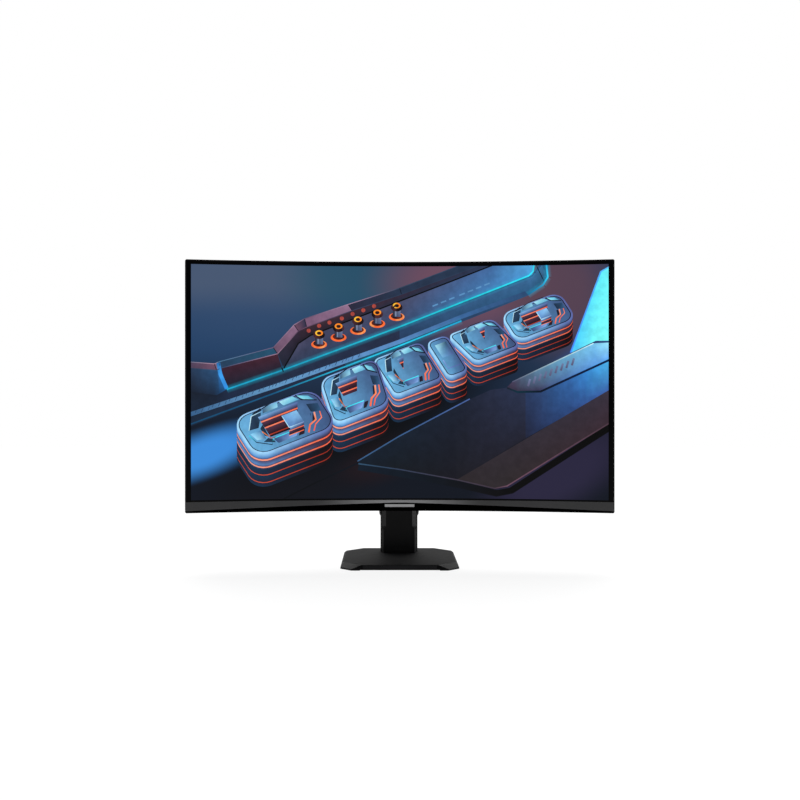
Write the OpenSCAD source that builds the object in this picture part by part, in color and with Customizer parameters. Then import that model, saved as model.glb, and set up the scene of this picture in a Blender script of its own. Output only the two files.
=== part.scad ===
// Curved desktop monitor on a tilting desk stand.
// +Z is up, the screen faces -Y, and the origin is on the table under the middle of the base.
// A "depth" is measured from the front of the glass backwards, square to the curved screen.

/* [Screen] */
// Width of the lit picture, measured along its curve
picture_w = 597.7; // [500:0.1:720]
// Height of the lit picture
picture_h = 336.2; // [300:0.1:405]
// Radius that the screen is curved to
curve_r = 1500; // [1250:10:1800]
// Height of the picture's middle above the table
picture_z = 265.5; // [262:0.5:330]
// How far the middle of the glass stands in front of the base's middle
screen_forward = 37.5; // [34:0.5:45]
// Black glass border beside the picture
border_side = 6.1; // [4:0.1:9]
// Black glass border above the picture
border_top = 4.4; // [3:0.1:8]
// Width of the edge frame round the glass
edge_w = 2.2; // [1.6:0.1:3]
// How far the edge frame stands in front of the glass
edge_proud = 0.4; // [0.2:0.1:0.8]

/* [Chin] */
// Height of the chin from the picture's lower edge to the bottom of the monitor
chin_h = 18.5; // [17:0.1:26]
// Glass that shows between the picture and the chin
chin_gap = 2.4; // [1.5:0.1:4]
// How far the chin strip stands in front of the glass
chin_proud = 1.7; // [1.4:0.1:3]
// Height of the chin strip at the middle
strip_mid_h = 3.4; // [2.5:0.1:5]
// Height of the chin strip at the two ends
strip_end_h = 12.9; // [8:0.1:14]
// Length of the plain bar at the middle of the chin
badge_w = 43; // [10:1:60]
// Height of the plain bar
badge_h = 4; // [1.5:0.1:5]

/* [Panel layers] */
// Thickness of the liquid crystal cell
cell_t = 1.4; // [1:0.1:2]
// Thickness of each optical film
film_t = 0.3; // [0.2:0.05:0.35]
// Thickness of the light guide plate
guide_t = 3; // [2:0.1:4]
// Thickness of the reflector sheet
reflector_t = 0.25; // [0.2:0.05:0.4]
// Thickness of the panel's steel chassis
chassis_t = 0.8; // [0.6:0.1:1.2]
// Number of light emitting diodes along the lower edge
led_count = 48; // [24:2:72]

/* [Rear housing] */
// Wall of the rear cover
cover_wall = 2.2; // [1.8:0.1:3]
// Depth of the rear cover's rim, where it meets the front frame
rim_depth = 12; // [11:0.1:14]
// Depth of the thin part of the rear cover
slab_depth = 19; // [18:0.1:24]
// Depth of the electronics housing at the middle
housing_depth = 48; // [46:0.5:52]
// Width of the housing's flat rear face
housing_w = 300; // [280:1:340]
// Extra width of the housing where it meets the thin part, at each side
housing_flare = 45; // [30:1:70]
// Lower edge of the housing's rear face
housing_z0 = 150; // [146:0.5:156]
// Upper edge of the housing's rear face
housing_z1 = 322; // [312:1:340]
// Number of ventilation slots
vent_count = 29; // [11:2:35]

/* [Mounting] */
// Spacing of the four wall mount holes
vesa_pitch = 100; // [100:25:125]
// Radius of the wall mount holes
vesa_hole_r = 2; // [1.8:0.1:2.5]
// Height of the wall mount and of the tilt axis above the table
mount_z = 250; // [246:0.5:256]

/* [Tilt hinge] */
// Radius of the tilt shaft
shaft_r = 5; // [4:0.1:6]
// Distance of the tilt axis behind the base's middle
pivot_y = 44; // [43:0.5:46]
// Running clearance of the shaft in the yoke
run_gap = 0.05; // [0.02:0.01:0.08]

/* [Neck] */
// Width of the neck's front cover
neck_w = 52.8; // [48:0.1:58]
// Width of the neck's flat front face, above its ledges
neck_face_w = 39.8; // [30:0.1:44]
// How far the rear cover shows past the front cover at each side
neck_step = 1.9; // [0.5:0.1:3]
// Distance of the neck's front face behind the base's middle
neck_y = 30.5; // [29:0.5:31.5]
// Depth of the neck
neck_d = 32; // [30:0.5:36]
// Wall of the neck covers
neck_wall = 2.2; // [1.6:0.1:2.6]
// Half width of the hinge cover at the top of the neck
hood_half = 42; // [40:0.5:44]

/* [Base] */
// Width of the base
base_w = 169; // [140:1:260]
// Depth of the base
base_d = 167; // [160:1:240]
// Height of the base
base_h = 7.5; // [7:0.1:10]
// Horizontal size of the bevel round the base
base_bevel = 4; // [2:0.5:6]
// Size of the cut-off corners
base_corner = 16; // [8:1:30]
// Size of the cut-off corners of the base's top face
base_top_corner = 26; // [10:1:36]
// Width of the ribbed insert in the front bevel
insert_w = 104; // [80:1:104]
// Radius of the rubber feet
foot_r = 8; // [5:0.5:10]

/* [Hidden] */

// The big curves are cut into enough facets that they stay within a tenth of a millimetre.
curve_fn = 256;
round_fn = 48;
eps = 0.01;

gap = 0.1;              // air between stacked sheets
snug = 0.2;             // air between a piece and the pocket that it sits in
screen_y = -screen_forward;

// ---- heights of the head
head_top = picture_z + picture_h / 2 + border_top + edge_w;
head_bottom = picture_z - picture_h / 2 - chin_h;
picture_bottom = picture_z - picture_h / 2;
chin_top = picture_bottom - chin_gap;
cell_bottom = chin_top - 1.5;
guide_bottom = chin_top - 4.5;

// ---- depths of the panel's layers
ledge_t = 0.8;
cell_back = cell_t;
ledge_front = cell_back + gap;
ledge_back = ledge_front + ledge_t;
films_front = ledge_back + gap;
films_back = films_front + 3 * film_t + 0.1;
guide_front = films_back + gap;
guide_back = guide_front + guide_t;
reflector_front = guide_back + 0.05;
reflector_back = reflector_front + reflector_t;
chassis_front = reflector_back + gap;
chassis_back = chassis_front + chassis_t;

// ---- distances in from the outer edge of the head
half_len = picture_w / 2 + border_side + edge_w;
cell_in = edge_w + snug;
chassis_in = edge_w + 0.3;
guide_in = chassis_in + chassis_t + 0.3;
ledge_in = edge_w + border_side - 0.8;

// ---- chin section
chin_wall = 1.3;
chin_skin = 0.8;        // the cover behind the strip
chin_slope_top = chin_top - 3.1;
chin_slope_d = 2;       // depth of the sloping face's lower edge
badge_low = 10.2;       // from the strip's top edge down to the bar's lower edge
corner_c = 1.6;         // cut-off corners of the head

// ---- rear housing
housing_front_y = screen_y + 3.5;
housing_back_y = screen_y + housing_depth;
housing_low = housing_z0 - 42;
housing_high = housing_z1 + 50;
pocket_w = 320;
pocket_y = screen_y + 20.5;
recess_w = 87;
recess_h = 88;
recess_depth = 5;
recess_y = housing_back_y - recess_depth;
vesa_plate_t = 2.2;
vesa_plate_back = recess_y - cover_wall - 0.5;
vesa_plate_front = vesa_plate_back - vesa_plate_t;
vesa_plate_half = vesa_pitch / 2 + 12;

// ---- circuit boards
board_x0 = 74;
board_x1 = 168;
board_z0 = housing_z0 + cover_wall + 3.8;
board_z1 = board_z0 + 104;
board_t = 1.6;
board_back = pocket_y + 2.7;
board_front = board_back - board_t;
tray_t = 1;
tray_back = board_front - 3.6;
tray_front = tray_back - tray_t;
board_screw_r = 1.5;
port_z = housing_z0 + 0.4;
port_x = [84, 105, 128, 149];     // two video sockets, the tall video socket, the sound socket
inlet_x = -112;

// ---- tilt hinge
lug_in = 18;
lug_t = 4;
lug_r = 11;
ear_in = lug_in + lug_t + 2;
ear_t = 4.5;
ear_r = 12;
plate_t = 3;
plate_front = recess_y + snug;
plate_back = plate_front + plate_t;
plate_half_w = 40;
plate_half_h = 40;
spring_t = 1;
nut_t = 5;
nut_in = ear_in + ear_t + 2 * spring_t + 0.2;
shaft_half = nut_in + nut_t + 1;
yoke_z = mount_z - 28;

// ---- quick release
button_z = mount_z - 56;
button_w = 22;
button_h = 12;
release_travel = 4;
button_in = 3.5;         // how far the button reaches in behind the cover's face
catch_z = mount_z - 36;
catch_t = 3;
latch_y = vesa_plate_front - 5.4;
latch_t = 3;
prong_in = 6;
prong_w = 3;
spring_len = 10;
spring_r = 2.6;

// ---- joystick, on the right behind the lower corner
stick_len = 226;        // place along the curve
stick_z = head_bottom + 36;
stick_pivot = slab_depth - 6.3;

// ---- neck
split_y = neck_y + 14.5;
neck_rear_half = neck_w / 2 + neck_step;
neck_back = neck_y + neck_d;
neck_low_chamfer = 2.8;
neck_rear_chamfer = 6;
neck_chamfer = (neck_w - neck_face_w) / 2;
ledge_z = base_h + 41;
wing_z = base_h + 55.2;
wing_step = 1.5;
wing_rise = 1.8;
hood_z = 165;
hood_top = mount_z + 22;
hood_taper = 10;

// ---- base
base_lip = 2.5;
base_wall = 1.6;
base_skirt = 0.3;
plate_z = 3.2;
base_plate_t = 2.6;
insert_t = 1;
insert_side = 0.5;
rib_pitch = 3.1;
rib_count = 9;
rib_start = insert_w / 2 - 5.5 - (rib_count - 1) * rib_pitch;
screw_r = 3;
screw_y = neck_y + neck_d / 2 - 1;
foot_x = base_w / 2 - base_top_corner - 2;
foot_y = base_d / 2 - 22;

function deg_of(length) = length / curve_r * 180 / PI;
function unit(v) = v / norm(v);
// Y of the surface that lies at a depth, at a distance x from the middle
function y_at(depth, x) = screen_y - curve_r + sqrt(pow(curve_r + depth, 2) - x * x);

// ---- helpers

// Moves children to the line that the screen is curved about.
module on_curve() translate([0, screen_y - curve_r, 0]) children();

// Turns children to a place along the curve: +Y is then square to the screen, from the curve's centre.
module at_length(length) on_curve() rotate([0, 0, -deg_of(length)]) children();

// Sweeps a (depth, height) outline along the curve, to a length each side of the middle.
module bent(outline, half)
    on_curve()
        rotate([0, 0, 90 - deg_of(half)])
            rotate_extrude(angle = 2 * deg_of(half), $fn = curve_fn)
                translate([curve_r, 0])
                    polygon(outline);

module bent_slab(d0, d1, z0, z1, half) bent([[d0, z0], [d1, z0], [d1, z1], [d0, z1]], half);

// A box between two corners.
module block(low, high) translate(low) cube(high - low);

// A round bar along X, Y or Z, from a point.
module bar_x(r, x0, x1, y, z) translate([x0, y, z]) rotate([0, 90, 0]) cylinder(r = r, h = x1 - x0, $fn = round_fn);
module bar_y(r, y0, y1, x, z) translate([x, y0, z]) rotate([-90, 0, 0]) cylinder(r = r, h = y1 - y0, $fn = round_fn);
module bar_z(r, z0, z1, x, y) translate([x, y, z0]) cylinder(r = r, h = z1 - z0, $fn = round_fn);

// A (x, z) outline given depth in Y.
module front_view(y0, y1) translate([0, y1, 0]) rotate([90, 0, 0]) linear_extrude(y1 - y0) children();

// A (y, z) outline given width in X.
module side_view(x0, x1)
    translate([x0, 0, 0]) rotate([90, 0, 90]) linear_extrude(x1 - x0) children();

// Children and their mirror image across the middle.
module both_sides() {
    children();
    mirror([1, 0, 0]) children();
}

// A round wire through a list of points.
module wire(points, r, sides = 6, side_on = [0, 0, 1]) {
    n = len(points);
    rings = [for (i = [0:n - 1])
        let (t = unit(points[min(i + 1, n - 1)] - points[max(i - 1, 0)]),
             u = unit(cross(t, side_on)),
             v = cross(t, u))
        for (k = [0:sides - 1]) points[i] + r * (u * cos(360 * k / sides) + v * sin(360 * k / sides))];
    skins = [for (i = [0:n - 2], k = [0:sides - 1])
        [i * sides + k, (i + 1) * sides + k, (i + 1) * sides + (k + 1) % sides, i * sides + (k + 1) % sides]];
    polyhedron(rings, concat([[for (k = [0:sides - 1]) k]], skins,
                             [[for (k = [sides - 1:-1:0]) (n - 1) * sides + k]]));
}

// A small triangle that cuts a corner off at both ends of the head. up is 1 for a lower corner, -1 for an upper.
module corner_cuts(z, up, d0, d1)
    both_sides()
        at_length(half_len)
            translate([0, curve_r, 0])
                front_view(d0, d1)
                    polygon([[-corner_c, z - up], [1, z - up], [1, z + up * corner_c], [0, z + up * corner_c],
                             [-corner_c, z]]);

// ---- the picture panel

module front_frame() color([0.05, 0.05, 0.055]) {
    difference() {
        bent_slab(-edge_proud, rim_depth, head_bottom + 4.4, head_top, half_len);
        // the pocket for the cell, and the window inside the ledge
        bent_slab(-1, ledge_front, head_bottom, head_top - edge_w, half_len - edge_w);
        bent_slab(-1, films_front, chin_top + 1.4, head_top - ledge_in, half_len - ledge_in);
        // the room behind the ledge
        bent([[ledge_back, head_top - edge_w], [rim_depth + 1, head_top - edge_w],
              [rim_depth + 1, head_bottom], [ledge_back + 2.4, head_bottom],
              [ledge_back + 2.4, head_bottom + 4.4], [ledge_back + 0.4, head_bottom + 11.1],
              [ledge_back, head_bottom + 11.1]], half_len - edge_w);
        // the room in front of the web, for the chin
        bent([[-1, head_bottom], [ledge_front + 2.4, head_bottom], [ledge_front + 2.4, head_bottom + 4.4],
              [ledge_front + 0.4, head_bottom + 11.1], [ledge_front, head_bottom + 12.6],
              [ledge_front, chin_top + 0.1], [-1, chin_top + 0.1]], half_len + 5);
        corner_cuts(head_top, -1, -1, rim_depth + 1);
    }
}

module lcd_cell() color([0.06, 0.09, 0.14])
    bent_slab(0, cell_t, cell_bottom, head_top - cell_in, half_len - cell_in);

module optical_films() color([0.92, 0.93, 0.95])
    for (i = [0:2])
        bent_slab(films_front + i * (film_t + 0.05), films_front + i * (film_t + 0.05) + film_t,
                  guide_bottom + 0.6, head_top - guide_in, half_len - guide_in);

module light_guide() color([0.85, 0.92, 0.95])
    bent_slab(guide_front, guide_back, guide_bottom, head_top - guide_in, half_len - guide_in);

module reflector_sheet() color([0.97, 0.97, 0.97])
    bent_slab(reflector_front, reflector_back, guide_bottom, head_top - guide_in, half_len - guide_in);

module led_strip() color([0.9, 0.9, 0.85])
    bent_slab(guide_front, guide_back, guide_bottom - 2.8, guide_bottom - 1.6, half_len - guide_in - 4);

module led_emitters() color([0.98, 0.95, 0.6])
    for (i = [0:led_count - 1])
        at_length((i - (led_count - 1) / 2) * (picture_w - 20) / led_count)
            translate([-2, curve_r + guide_front + 0.6, guide_bottom - 1.6])
                cube([4, 1.8, 1.3]);

module panel_chassis() color([0.66, 0.68, 0.7])
    difference() {
        bent_slab(films_back + 0.5, chassis_back, guide_bottom - 3.7, head_top - chassis_in, half_len - chassis_in);
        bent_slab(0, chassis_front, guide_bottom - 2.9, head_top - chassis_in - chassis_t,
                  half_len - chassis_in - chassis_t);
        cover_screw_places() cylinder(r = cover_screw_r + 0.2, h = 60, center = true, $fn = round_fn);
    }

// ---- chin

module chin_cover() color([0.02, 0.02, 0.022])
    difference() {
        bent([[-chin_skin - 0.1, chin_top], [-0.1, chin_top], [-0.1, chin_top - 2.3], [0.3, chin_slope_top - 0.5],
              [chin_slope_d + chin_wall, head_bottom + 2], [rim_depth, head_bottom + 2],
              [rim_depth, head_bottom], [chin_slope_d, head_bottom], [-chin_skin - 0.1, chin_slope_top]], half_len);
        corner_cuts(head_bottom, 1, -3, rim_depth + 1);
        at_length(power_light_len) bar_z(light_r + 0.1, head_bottom - 1, head_bottom + 3, 0, curve_r + 7);
    }

// The outline of the strip: its lower edge rises from both ends to the middle.
module strip_outline() {
    low = chin_top - strip_end_h;
    mid = chin_top - strip_mid_h;
    far = 1.2 * half_len;
    slope = (mid - low) / half_len;
    polygon([[-far, mid - slope * far], [-8, mid - 8 * slope], [8, mid - 8 * slope], [far, mid - slope * far],
             [far, chin_top + 1], [-far, chin_top + 1]]);
}

module chin_trim() color([0.2, 0.2, 0.21])
    difference() {
        intersection() {
            bent([[-chin_proud, chin_top], [-chin_skin - 0.1, chin_top], [-chin_skin - 0.1, chin_slope_top],
                  [chin_slope_d, head_bottom], [-chin_proud, head_bottom]], half_len);
            front_view(screen_y - 120, screen_y + 20) strip_outline();
        }
        corner_cuts(head_bottom, 1, -3, rim_depth + 1);
    }

// Depth of the chin's sloping face at a height.
function chin_face(z) = -chin_skin - 0.1 + (chin_slope_top - z) * (chin_slope_d + chin_skin + 0.1)
                        / (chin_slope_top - head_bottom);

module chin_badge() color([0.7, 0.71, 0.72]) {
    z0 = chin_top - badge_low;
    z1 = z0 + badge_h;
    bent([[chin_face(z1) - 0.4, z1], [chin_face(z1) - 0.02, z1], [chin_face(z0) - 0.02, z0], [chin_face(z0) - 0.4, z0]],
         badge_w / 2);
}

light_r = 1.2;
power_light_len = 262;

module power_light() color([0.85, 0.9, 0.95])
    at_length(power_light_len) bar_z(light_r, head_bottom - 0.2, head_bottom + 7, 0, curve_r + 7);

// ---- rear housing

cover_screw_r = 1.5;
cover_screw_len = [-250, 0, 250];

// Puts children, whose +Z is outwards, at the rear cover's screws.
module cover_screw_places()
    for (length = cover_screw_len, z = [head_bottom + 26, head_top - 26])
        if (length != 0 || z > picture_z)
            at_length(length) translate([0, curve_r + slab_depth, z]) rotate([-90, 0, 0]) children();

module slab(inset) {
    low = head_bottom + 0.5 + inset;
    high = head_top - 0.5 - inset;
    depth = slab_depth - inset;
    half = half_len - 0.5 - inset;
    difference() {
        bent([[rim_depth - inset, low], [rim_depth + 2.5, low], [depth, low + 7], [depth, high - 7],
              [rim_depth + 2.5, high], [rim_depth - inset, high]], half);
        both_sides()
            at_length(half)
                translate([0, curve_r, head_bottom - 1])
                    linear_extrude(head_top - head_bottom + 2)
                        polygon([[-7, depth], [0, rim_depth + 2.5], [1, rim_depth + 2.5], [1, depth + 1],
                                 [-7, depth + 1]]);
    }
}

module housing(inset) {
    face = housing_w / 2 - inset;
    foot = face + housing_flare;
    hull() {
        block([-foot, housing_front_y, housing_low + inset], [foot, housing_front_y + 0.1, housing_high - inset]);
        block([-face, housing_back_y - inset - 0.1, housing_z0 + inset],
              [face, housing_back_y - inset, housing_z1 - inset]);
    }
}

// The recess under the housing that the sockets open into.
module port_pocket(wall)
    block([-pocket_w / 2 - wall, pocket_y - wall, housing_low - 20],
          [pocket_w / 2 + wall, housing_back_y + 20, housing_z0 + wall]);

module mount_recess(wall)
    block([-recess_w / 2 - wall, recess_y - wall, mount_z - recess_h / 2 - wall],
          [recess_w / 2 + wall, housing_back_y + 1 - wall, mount_z + recess_h / 2 + wall]);

module vents() {
    pitch = 9.4;
    for (i = [0:vent_count - 1]) {
        x = (i - (vent_count - 1) / 2) * pitch;
        block([x - 1.6, screen_y + 21.5, housing_z1 + 8], [x + 1.6, housing_back_y + 5, housing_z1 + 27]);
    }
}

// Shallow lines that run from the housing's corners to the head's corners.
module style_lines() {
    line_w = 1.6;
    both_sides()
        difference() {
            front_view(screen_y - 60, screen_y + 60)
                for (end = [[stick_z + 17, stick_z + 22], [housing_z1 + 26, head_top - 34]]) {
                    polygon([[housing_w / 2 + housing_flare + 12, end[0]], [half_len - 34, end[1]],
                             [half_len - 34, end[1] + line_w], [housing_w / 2 + housing_flare + 12, end[0] + line_w]]);
                }
            bent_slab(-80, slab_depth - 0.7, head_bottom - 5, head_top + 5, half_len + 10);
        }
}

module screw_bosses()
    difference() {
        cover_screw_places() translate([0, 0, -slab_depth + chassis_back + 0.2])
            cylinder(r = 4, h = slab_depth - chassis_back - 1.5, $fn = round_fn);
        cover_screw_places() cylinder(r = cover_screw_r + 0.15, h = 60, center = true, $fn = round_fn);
    }

module rear_cover() color([0.09, 0.09, 0.095]) {
    difference() {
        rear_shell();
        style_lines();
        // screws and joystick
        cover_screw_places() cylinder(r = cover_screw_r + 0.15, h = 60, center = true, $fn = round_fn);
        cover_screw_places() translate([0, 0, -1.2]) cylinder(r = 3.2, h = 5, $fn = round_fn);
        at_stick() {
            cylinder(r = 4.6, h = 2 * slab_depth + 4, center = true, $fn = round_fn);
            translate([0, 0, slab_depth - 0.9]) cylinder(r1 = 9, r2 = 13, h = 1.2, $fn = round_fn);
        }
    }
    screw_bosses();
}

module rear_shell()
    difference() {
        union() {
            difference() {
                slab(0);
                slab(cover_wall);
                housing(cover_wall);
            }
            difference() {
                housing(0);
                housing(cover_wall);
                slab(cover_wall);
                port_pocket(0);
            }
            intersection() {
                housing(0);
                difference() {
                    port_pocket(cover_wall);
                    port_pocket(0);
                }
            }
            mount_recess(cover_wall);
        }
        on_curve() cylinder(r = curve_r + rim_depth + 0.15, h = 1200, $fn = curve_fn);
        mount_recess(0);
        vents();
        // sockets
        for (i = [0:2]) block([port_x[i] - port_half[i] - snug, board_back - 0.4, housing_z0 - 1],
                              [port_x[i] + port_half[i] + snug, board_back + port_h[i] + snug, port_z + 8]);
        bar_z(4.2, housing_z0 - 1, port_z + 8, port_x[3], board_back + 4);
        block([inlet_x - inlet_w / 2 - snug, inlet_y0 - snug, housing_z0 - 1],
              [inlet_x + inlet_w / 2 + snug, inlet_y0 + inlet_d + snug, port_z + 8]);
        // wall mount inserts, hooks, catch and release button
        vesa_places() cylinder(r = vesa_outer_r + 0.15, h = 40, center = true, $fn = round_fn);
        hook_slots(recess_y - cover_wall - 1, recess_y + 1);
        block([-button_w / 2 - snug, housing_back_y - 4, button_z - button_h / 2 - snug],
              [button_w / 2 + snug, housing_back_y + 1, button_z + button_h / 2 + snug]);
        // lock slot
        block([132, pocket_y + 6, housing_z0 - 30], [139, pocket_y + 9, housing_z0 + 20]);
    }

module cover_screws() color([0.2, 0.2, 0.2])
    cover_screw_places() {
        translate([0, 0, -1.1]) cylinder(r = 2.9, h = 1, $fn = round_fn);
        translate([0, 0, -slab_depth + chassis_front + 0.1])
            cylinder(r = cover_screw_r, h = slab_depth - chassis_front - 1.1, $fn = round_fn);
    }

// ---- wall mount

vesa_outer_r = 4.6;

module vesa_places()
    for (x = [-1, 1], z = [-1, 1])
        translate([x * vesa_pitch / 2, 0, mount_z + z * vesa_pitch / 2]) rotate([-90, 0, 0]) children();

module hook_slots(y0, y1, room = 0.4) {
    both_sides() block([16 - room, y0, mount_z + 28 - room], [24 + room, y1, mount_z + 37 + room]);
    block([-9 - room, y0, catch_z - room], [9 + room, y1, catch_z + catch_t + room]);
}

module vesa_bracket() color([0.7, 0.71, 0.72]) {
    h = vesa_plate_half;
    y0 = vesa_plate_front;
    difference() {
        union() {
            block([-h, y0, mount_z - h], [h, vesa_plate_back, mount_z + h]);
            block([-15, y0, button_z - 22], [15, vesa_plate_back, mount_z - h + 1]);
            // legs and feet down to the chassis
            both_sides() {
                block([h - 2, board_leg_y, mount_z - 30], [h, y0 + 1, mount_z + 30]);
                block([h - 12, board_leg_y, mount_z - 30], [h, board_leg_y + 2, mount_z + 30]);
            }
            // guide for the latch
            block([-15, latch_y - 2, button_z - 22], [15, y0 + 1, button_z - 20]);
            both_sides() block([13, latch_y - 2, button_z - 22], [15, y0 + 1, button_z + 8]);
        }
        vesa_places() cylinder(r = vesa_outer_r - 1.2, h = 60, center = true, $fn = round_fn);
        hook_slots(y0 - 1, vesa_plate_back + 1);
        both_sides() block([prong_in - 0.5, y0 - 1, button_z - 9], [prong_in + prong_w + 0.5, vesa_plate_back + 1,
                                                                  button_z + 8]);
    }
}

board_leg_y = y_at(chassis_back, vesa_plate_half - 12) + 0.15;

module vesa_inserts() color([0.75, 0.68, 0.4])
    vesa_places()
        difference() {
            union() {
                translate([0, 0, vesa_plate_back]) cylinder(r = vesa_outer_r, h = housing_back_y - vesa_plate_back - 0.2,
                                                            $fn = round_fn);
                translate([0, 0, vesa_plate_front - 0.6]) cylinder(r = vesa_outer_r - 1.25, h = 4, $fn = round_fn);
            }
            translate([0, 0, vesa_plate_front + 0.6]) cylinder(r = vesa_hole_r, h = 40, $fn = round_fn);
        }

// ---- circuit boards

board_screw_x = [board_x0 + 5, board_x1 - 5];
board_screw_z = [board_z0 + 18, board_z1 - 5];

module board_screw_places()
    both_sides()
        for (x = board_screw_x, z = board_screw_z)
            translate([x, 0, z]) rotate([-90, 0, 0]) children();

module board_tray() color([0.72, 0.74, 0.76])
    difference() {
        union() {
            both_sides() {
                block([board_x0 - 4, tray_front, board_z0], [board_x1, tray_back, board_z1]);
                for (x = board_screw_x)
                    for (z = board_screw_z)
                        bar_y(2.6, y_at(chassis_back, x - 6) + 0.15, tray_front + eps, x, z);
            }
            board_screw_places() translate([0, 0, tray_back - eps]) cylinder(r = 2.6, h = board_front - tray_back,
                                                                            $fn = round_fn);
        }
        board_screw_places() translate([0, 0, tray_front - 6]) cylinder(r = board_screw_r + 0.05, h = 40, $fn = round_fn);
    }

module board(side)
    difference() {
        block([side > 0 ? board_x0 : -board_x1 + 1, board_front + 0.02, board_z0],
              [side > 0 ? board_x1 - 1 : -board_x0, board_back, board_z1]);
        board_screw_places() translate([0, 0, tray_front - 6]) cylinder(r = board_screw_r + 0.2, h = 60, $fn = round_fn);
    }

module main_board() color([0.05, 0.25, 0.14]) board(1);
module power_board() color([0.62, 0.5, 0.25]) board(-1);

module board_screws() color([0.75, 0.75, 0.76])
    board_screw_places() {
        translate([0, 0, board_back + 0.02]) cylinder(r = 2.6, h = 1.6, $fn = round_fn);
        translate([0, 0, board_front - 4]) cylinder(r = board_screw_r, h = board_t + 4.1, $fn = round_fn);
    }

module main_board_parts() color([0.12, 0.12, 0.13]) {
    y = board_back;
    block([88, y, board_z0 + 42], [106, y + 1.2, board_z0 + 60]);
    for (i = [0:2]) block([116 + 11 * i, y, board_z0 + 44], [124 + 11 * i, y + 1.1, board_z0 + 52]);
    for (i = [0:4]) bar_y(2.5, y, y + 5.2, 84 + 9 * i, board_z0 + 78);
    for (i = [0:2]) block([128 + 9 * i, y, board_z0 + 72], [135 + 9 * i, y + 3.2, board_z0 + 79]);
    block([94, y, board_z0 + 24], [116, y + 2.4, board_z0 + 28]);
}

module heat_sink() color([0.75, 0.76, 0.78]) {
    y = board_back + 1.25;
    block([86, y, board_z0 + 40], [108, y + 1.6, board_z0 + 62]);
    for (i = [0:6]) block([86 + 3.45 * i, y + 1.5, board_z0 + 40], [87.3 + 3.45 * i, y + 9, board_z0 + 62]);
}

module power_board_parts() color([0.75, 0.7, 0.35]) {
    y = board_back;
    block([-118, y, board_z0 + 54], [-96, y + 15, board_z0 + 78]);
    for (i = [0:2]) bar_y(5.5, y, y + 15, -84, board_z0 + 46 + 13 * i);
    bar_y(7, y, y + 9, -136, board_z0 + 48);
    for (i = [0:1]) block([-148 + 14 * i, y, board_z0 + 72], [-138 + 14 * i, y + 8, board_z0 + 75]);
    block([-130, y, board_z0 + 88], [-100, y + 6, board_z0 + 96]);
}

// ---- sockets

port_half = [7.5, 7.5, 8.6];
port_h = [6, 6, 6.4];
port_len = 13;

module video_socket(x, half, h, tongue) {
    y = board_back + 0.02;
    difference() {
        block([x - half, y, port_z], [x + half, y + h, port_z + port_len]);
        block([x - half + 0.5, y + 0.5, port_z - 1], [x + half - 0.5, y + h - 0.5, port_z + port_len - 2]);
    }
    block([x - half + tongue, y + h / 2 - 0.5, port_z + 1], [x + half - tongue, y + h / 2 + 0.5, port_z + port_len - 1.5]);
}

module hdmi_ports() color([0.72, 0.73, 0.75]) for (i = [0:1]) video_socket(port_x[i], port_half[i], port_h[i], 1.6);
module displayport_port() color([0.72, 0.73, 0.75]) video_socket(port_x[2], port_half[2], port_h[2], 2.2);

jack_r = 1.8;

module audio_jack() color([0.06, 0.06, 0.07])
    difference() {
        union() {
            block([port_x[3] - 4, board_back + 0.02, port_z + 3], [port_x[3] + 4, board_back + 8, port_z + 15]);
            bar_z(4, port_z, port_z + 3.1, port_x[3], board_back + 4);
        }
        bar_z(jack_r, port_z - 1, port_z + 13, port_x[3], board_back + 4);
    }

inlet_w = 28;
inlet_d = 20;
inlet_len = 22;
inlet_y0 = board_back + 0.6;

module power_inlet() color([0.04, 0.04, 0.045])
    difference() {
        block([inlet_x - inlet_w / 2, inlet_y0, port_z], [inlet_x + inlet_w / 2, inlet_y0 + inlet_d, port_z + inlet_len]);
        block([inlet_x - 12, inlet_y0 + 1.8, port_z - 1], [inlet_x + 12, inlet_y0 + inlet_d - 1.8, port_z + 16]);
        for (x = [-7, 0, 7])
            block([inlet_x + x - 1, inlet_pin_y(x), port_z + 15], [inlet_x + x + 1, inlet_pin_y(x) + 4, port_z + inlet_len + 1]);
    }

// The earth pin stands behind the other two.
function inlet_pin_y(x) = inlet_y0 + (x == 0 ? 12.6 : 8.2);

module inlet_pins() color([0.8, 0.8, 0.78])
    for (x = [-7, 0, 7])
        block([inlet_x + x - 0.95, inlet_pin_y(x) + 0.05, port_z + 4],
              [inlet_x + x + 0.95, inlet_pin_y(x) + 3.95, port_z + inlet_len + 2]);

// ---- driver board, flexes and wiring behind the panel

source_d = chassis_back + 0.4;
source_z = head_bottom + 22;
source_half = 205;

module source_board() color([0.06, 0.28, 0.16])
    bent_slab(source_d, source_d + 1, source_z, source_z + 16, source_half);

module driver_flexes() color([0.72, 0.45, 0.15]) {
    t = 0.15;
    low = head_bottom + 4;
    flex_w = 20;
    for (i = [0:7]) {
        length = (i - 3.5) * 2 * (source_half - 14) / 7;
        on_curve() rotate([0, 0, 90 - deg_of(length + flex_w / 2)])
            rotate_extrude(angle = deg_of(flex_w), $fn = curve_fn) translate([curve_r, 0])
                polygon([[0.6, cell_bottom - 0.02], [0.6 + t, cell_bottom - 0.02], [0.95 + t, chin_slope_top - 0.9],
                         [3.1, low + t], [source_d + 0.3, low + t], [source_d + 0.3, source_z - 0.05],
                         [source_d + 0.3 + t, source_z - 0.05], [source_d + 0.3 + t, low], [3, low],
                         [0.95, chin_slope_top - 0.9]]);
    }
}

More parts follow.
